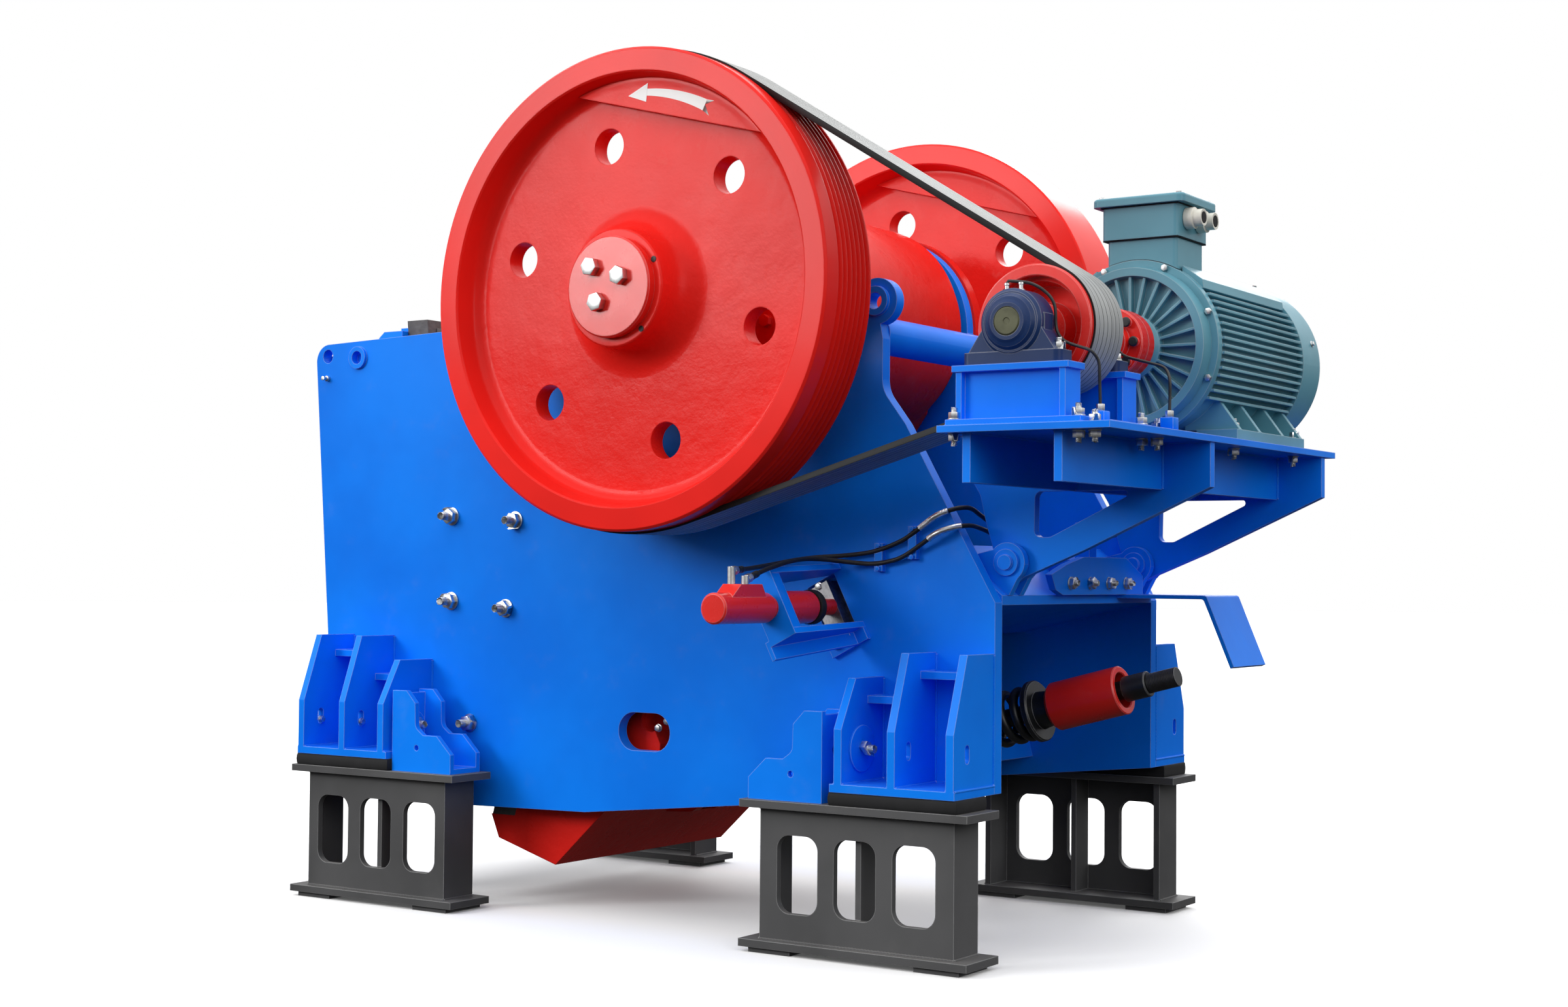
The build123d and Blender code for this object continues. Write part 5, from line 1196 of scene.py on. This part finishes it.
# %% Weld beads
FOOT_BASE_THICKNESS = 28


def bead(shape, start, end, radius=5.5):
    """A weld bead in a corner, from one drawing point to another."""
    line = Vector(end) - Vector(start)
    stitches = ringed(radius, line.length, pitch=13, depth=radius * 0.28, sides=6, ragged=0.07)
    add_copy(shape, stitches, aim(start, line))


def foot_welds():
    """Where the feet's ribs meet their base plates and the side plates."""
    shape = bmesh.new()
    base_top = FEET_LEVEL + FOOT_BASE_THICKNESS
    feet = (
        ((752, 960, 1183), (382, 472, 472), 735, 1216),
        ((-1782, -1559, -1351), (472, 472, 382), -1785, -1304),
    )
    for ribs, heights, first, last in feet:
        for x, height in zip(ribs, heights):
            for face in (x - 1, x + 31):
                bead(shape, (face, -PLATE_FACE, base_top), (face, -936, base_top))
                rib_top = FEET_LEVEL + height - 6
                bead(shape, (face, -PLATE_FACE - 1, base_top), (face, -PLATE_FACE - 1, rib_top))
        bead(shape, (first + 4, -PLATE_FACE - 1, base_top), (last - 4, -PLATE_FACE - 1, base_top))
    mirrored(shape)
    return settle("foot_welds", shape, FRAME_BLUE, "frame", 60)


def deck_welds():
    """Where the deck's cross plates and pedestals are welded to it."""
    shape = bmesh.new()
    for x in (1437, 1750):
        for face in (x - 15, x + 15):
            bead(shape, (face, -1273, DECK_UNDER), (face, -540, DECK_UNDER))
            bead(shape, (face, -500, DECK_UNDER), (face, 500, DECK_UNDER))
            for y in (-538, -502, 502):
                bead(shape, (face, y, 1594), (face, y, DECK_UNDER - 4), 6.5)
    for y in (-1289, -728):
        bead(shape, (1370, y, DECK_TOP), (1828, y, DECK_TOP))
    for x in (1367, 1831):
        bead(shape, (x, -1286, DECK_TOP), (x, -731, DECK_TOP))
    for y in (-538, -502, 502, 538):
        bead(shape, (1262, y, DECK_UNDER), (1928, y, DECK_UNDER))
    return settle("deck_welds", shape, FRAME_BLUE, "frame", 60)


def stand_welds():
    """Where the stands' webs meet their top and bottom plates."""
    shape = bmesh.new()
    for first, last in ((-1816, -960), (367, 1264)):
        web_start, web_end = first + 66, last - 66
        for z in (46, 497):
            bead(shape, (web_start, -906, z), (web_end, -906, z))
            for x in (web_start - 1, web_end + 1):
                bead(shape, (x, -904, z), (x, -745, z))
    mirrored(shape)
    return settle("stand_welds", shape, STAND_GREY, "frame", 60)


foot_welds()
deck_welds()
stand_welds()

# %% [markdown]
# ## The crushing faces
# Both dies are cast with upright ridges that bite the rock. A ridge is a long block laid along the
# die's slope. Its narrow side is let into the die, and its wide side stands a few millimetres out of
# the face. The jaw's ridges move with the jaw.

# %% The crushing faces
RIDGE_PITCH = 100
RIDGE_PROUD = 6
RIDGE_SUNK = 26
RIDGE_WIDTH = 66
SUNK_SIDE_SHARE = 0.45


def die_ridges(name, top, bottom, half_width, body, behind, shift=0.0):
    """Upright ridges on a die whose face goes from one (x, z) point down to another.

    The die lies to the front of its face with behind 1, and to the rear of it with -1. A shift moves
    the ridges by a share of their pitch, so that one die's ridges stand between the other's.
    """
    shape = bmesh.new()
    line = Vector((bottom[0] - top[0], 0, bottom[1] - top[1]))
    length = line.length - 60
    inwards = Vector((line.z, 0, -line.x)).normalized() * behind
    turn = Matrix((inwards, (0, 1, 0), line.normalized())).transposed().to_4x4()
    middle = (Vector((top[0], 0, top[1])) + Vector((bottom[0], 0, bottom[1]))) / 2
    count = int((half_width - 40) // RIDGE_PITCH)
    for index in range(-count, count + 1):
        y = (index + shift) * RIDGE_PITCH
        if abs(y) > half_width - 35:
            continue
        depth = (RIDGE_SUNK - RIDGE_PROUD) / 2
        place = Matrix.Translation(middle + Vector((0, y, 0)) + inwards * depth) @ turn
        corners = box(shape, (0, 0, 0), (RIDGE_PROUD + RIDGE_SUNK, RIDGE_WIDTH, length))
        for corner in corners:
            if corner.co.x > 0:
                corner.co.y *= SUNK_SIDE_SHARE
        bmesh.ops.transform(shape, matrix=place, verts=corners)
    soften(shape, shape.edges[:], 6)
    return settle(name, shape, CAST_STEEL, body)


die_ridges("fixed_die_ridges", (-1450, 2330), (-1255, 425), 579, "frame", 1)
die_ridges("swing_die_ridges", (-533, 2270), (-1095, 300), 560, "jaw", -1, 0.5)

# %% The floor's finish


def floor_finish():
    """Pale, slightly uneven studio floor that glows a little, so that it fades into the dome."""
    mix = Recipe("studio_floor")
    cloud = mix.noise(0.8, 3.0, 0.5)
    tone = mix.blend(cloud, (0.93, 0.93, 0.93), (0.97, 0.97, 0.97))
    return mix.finish(base_color=tone, roughness=0.8 + cloud * 0.1, specular_ior_level=0.1,
                      emission_color=(1, 1, 1), emission_strength=0.07)


floor.data.materials.append(floor_finish())
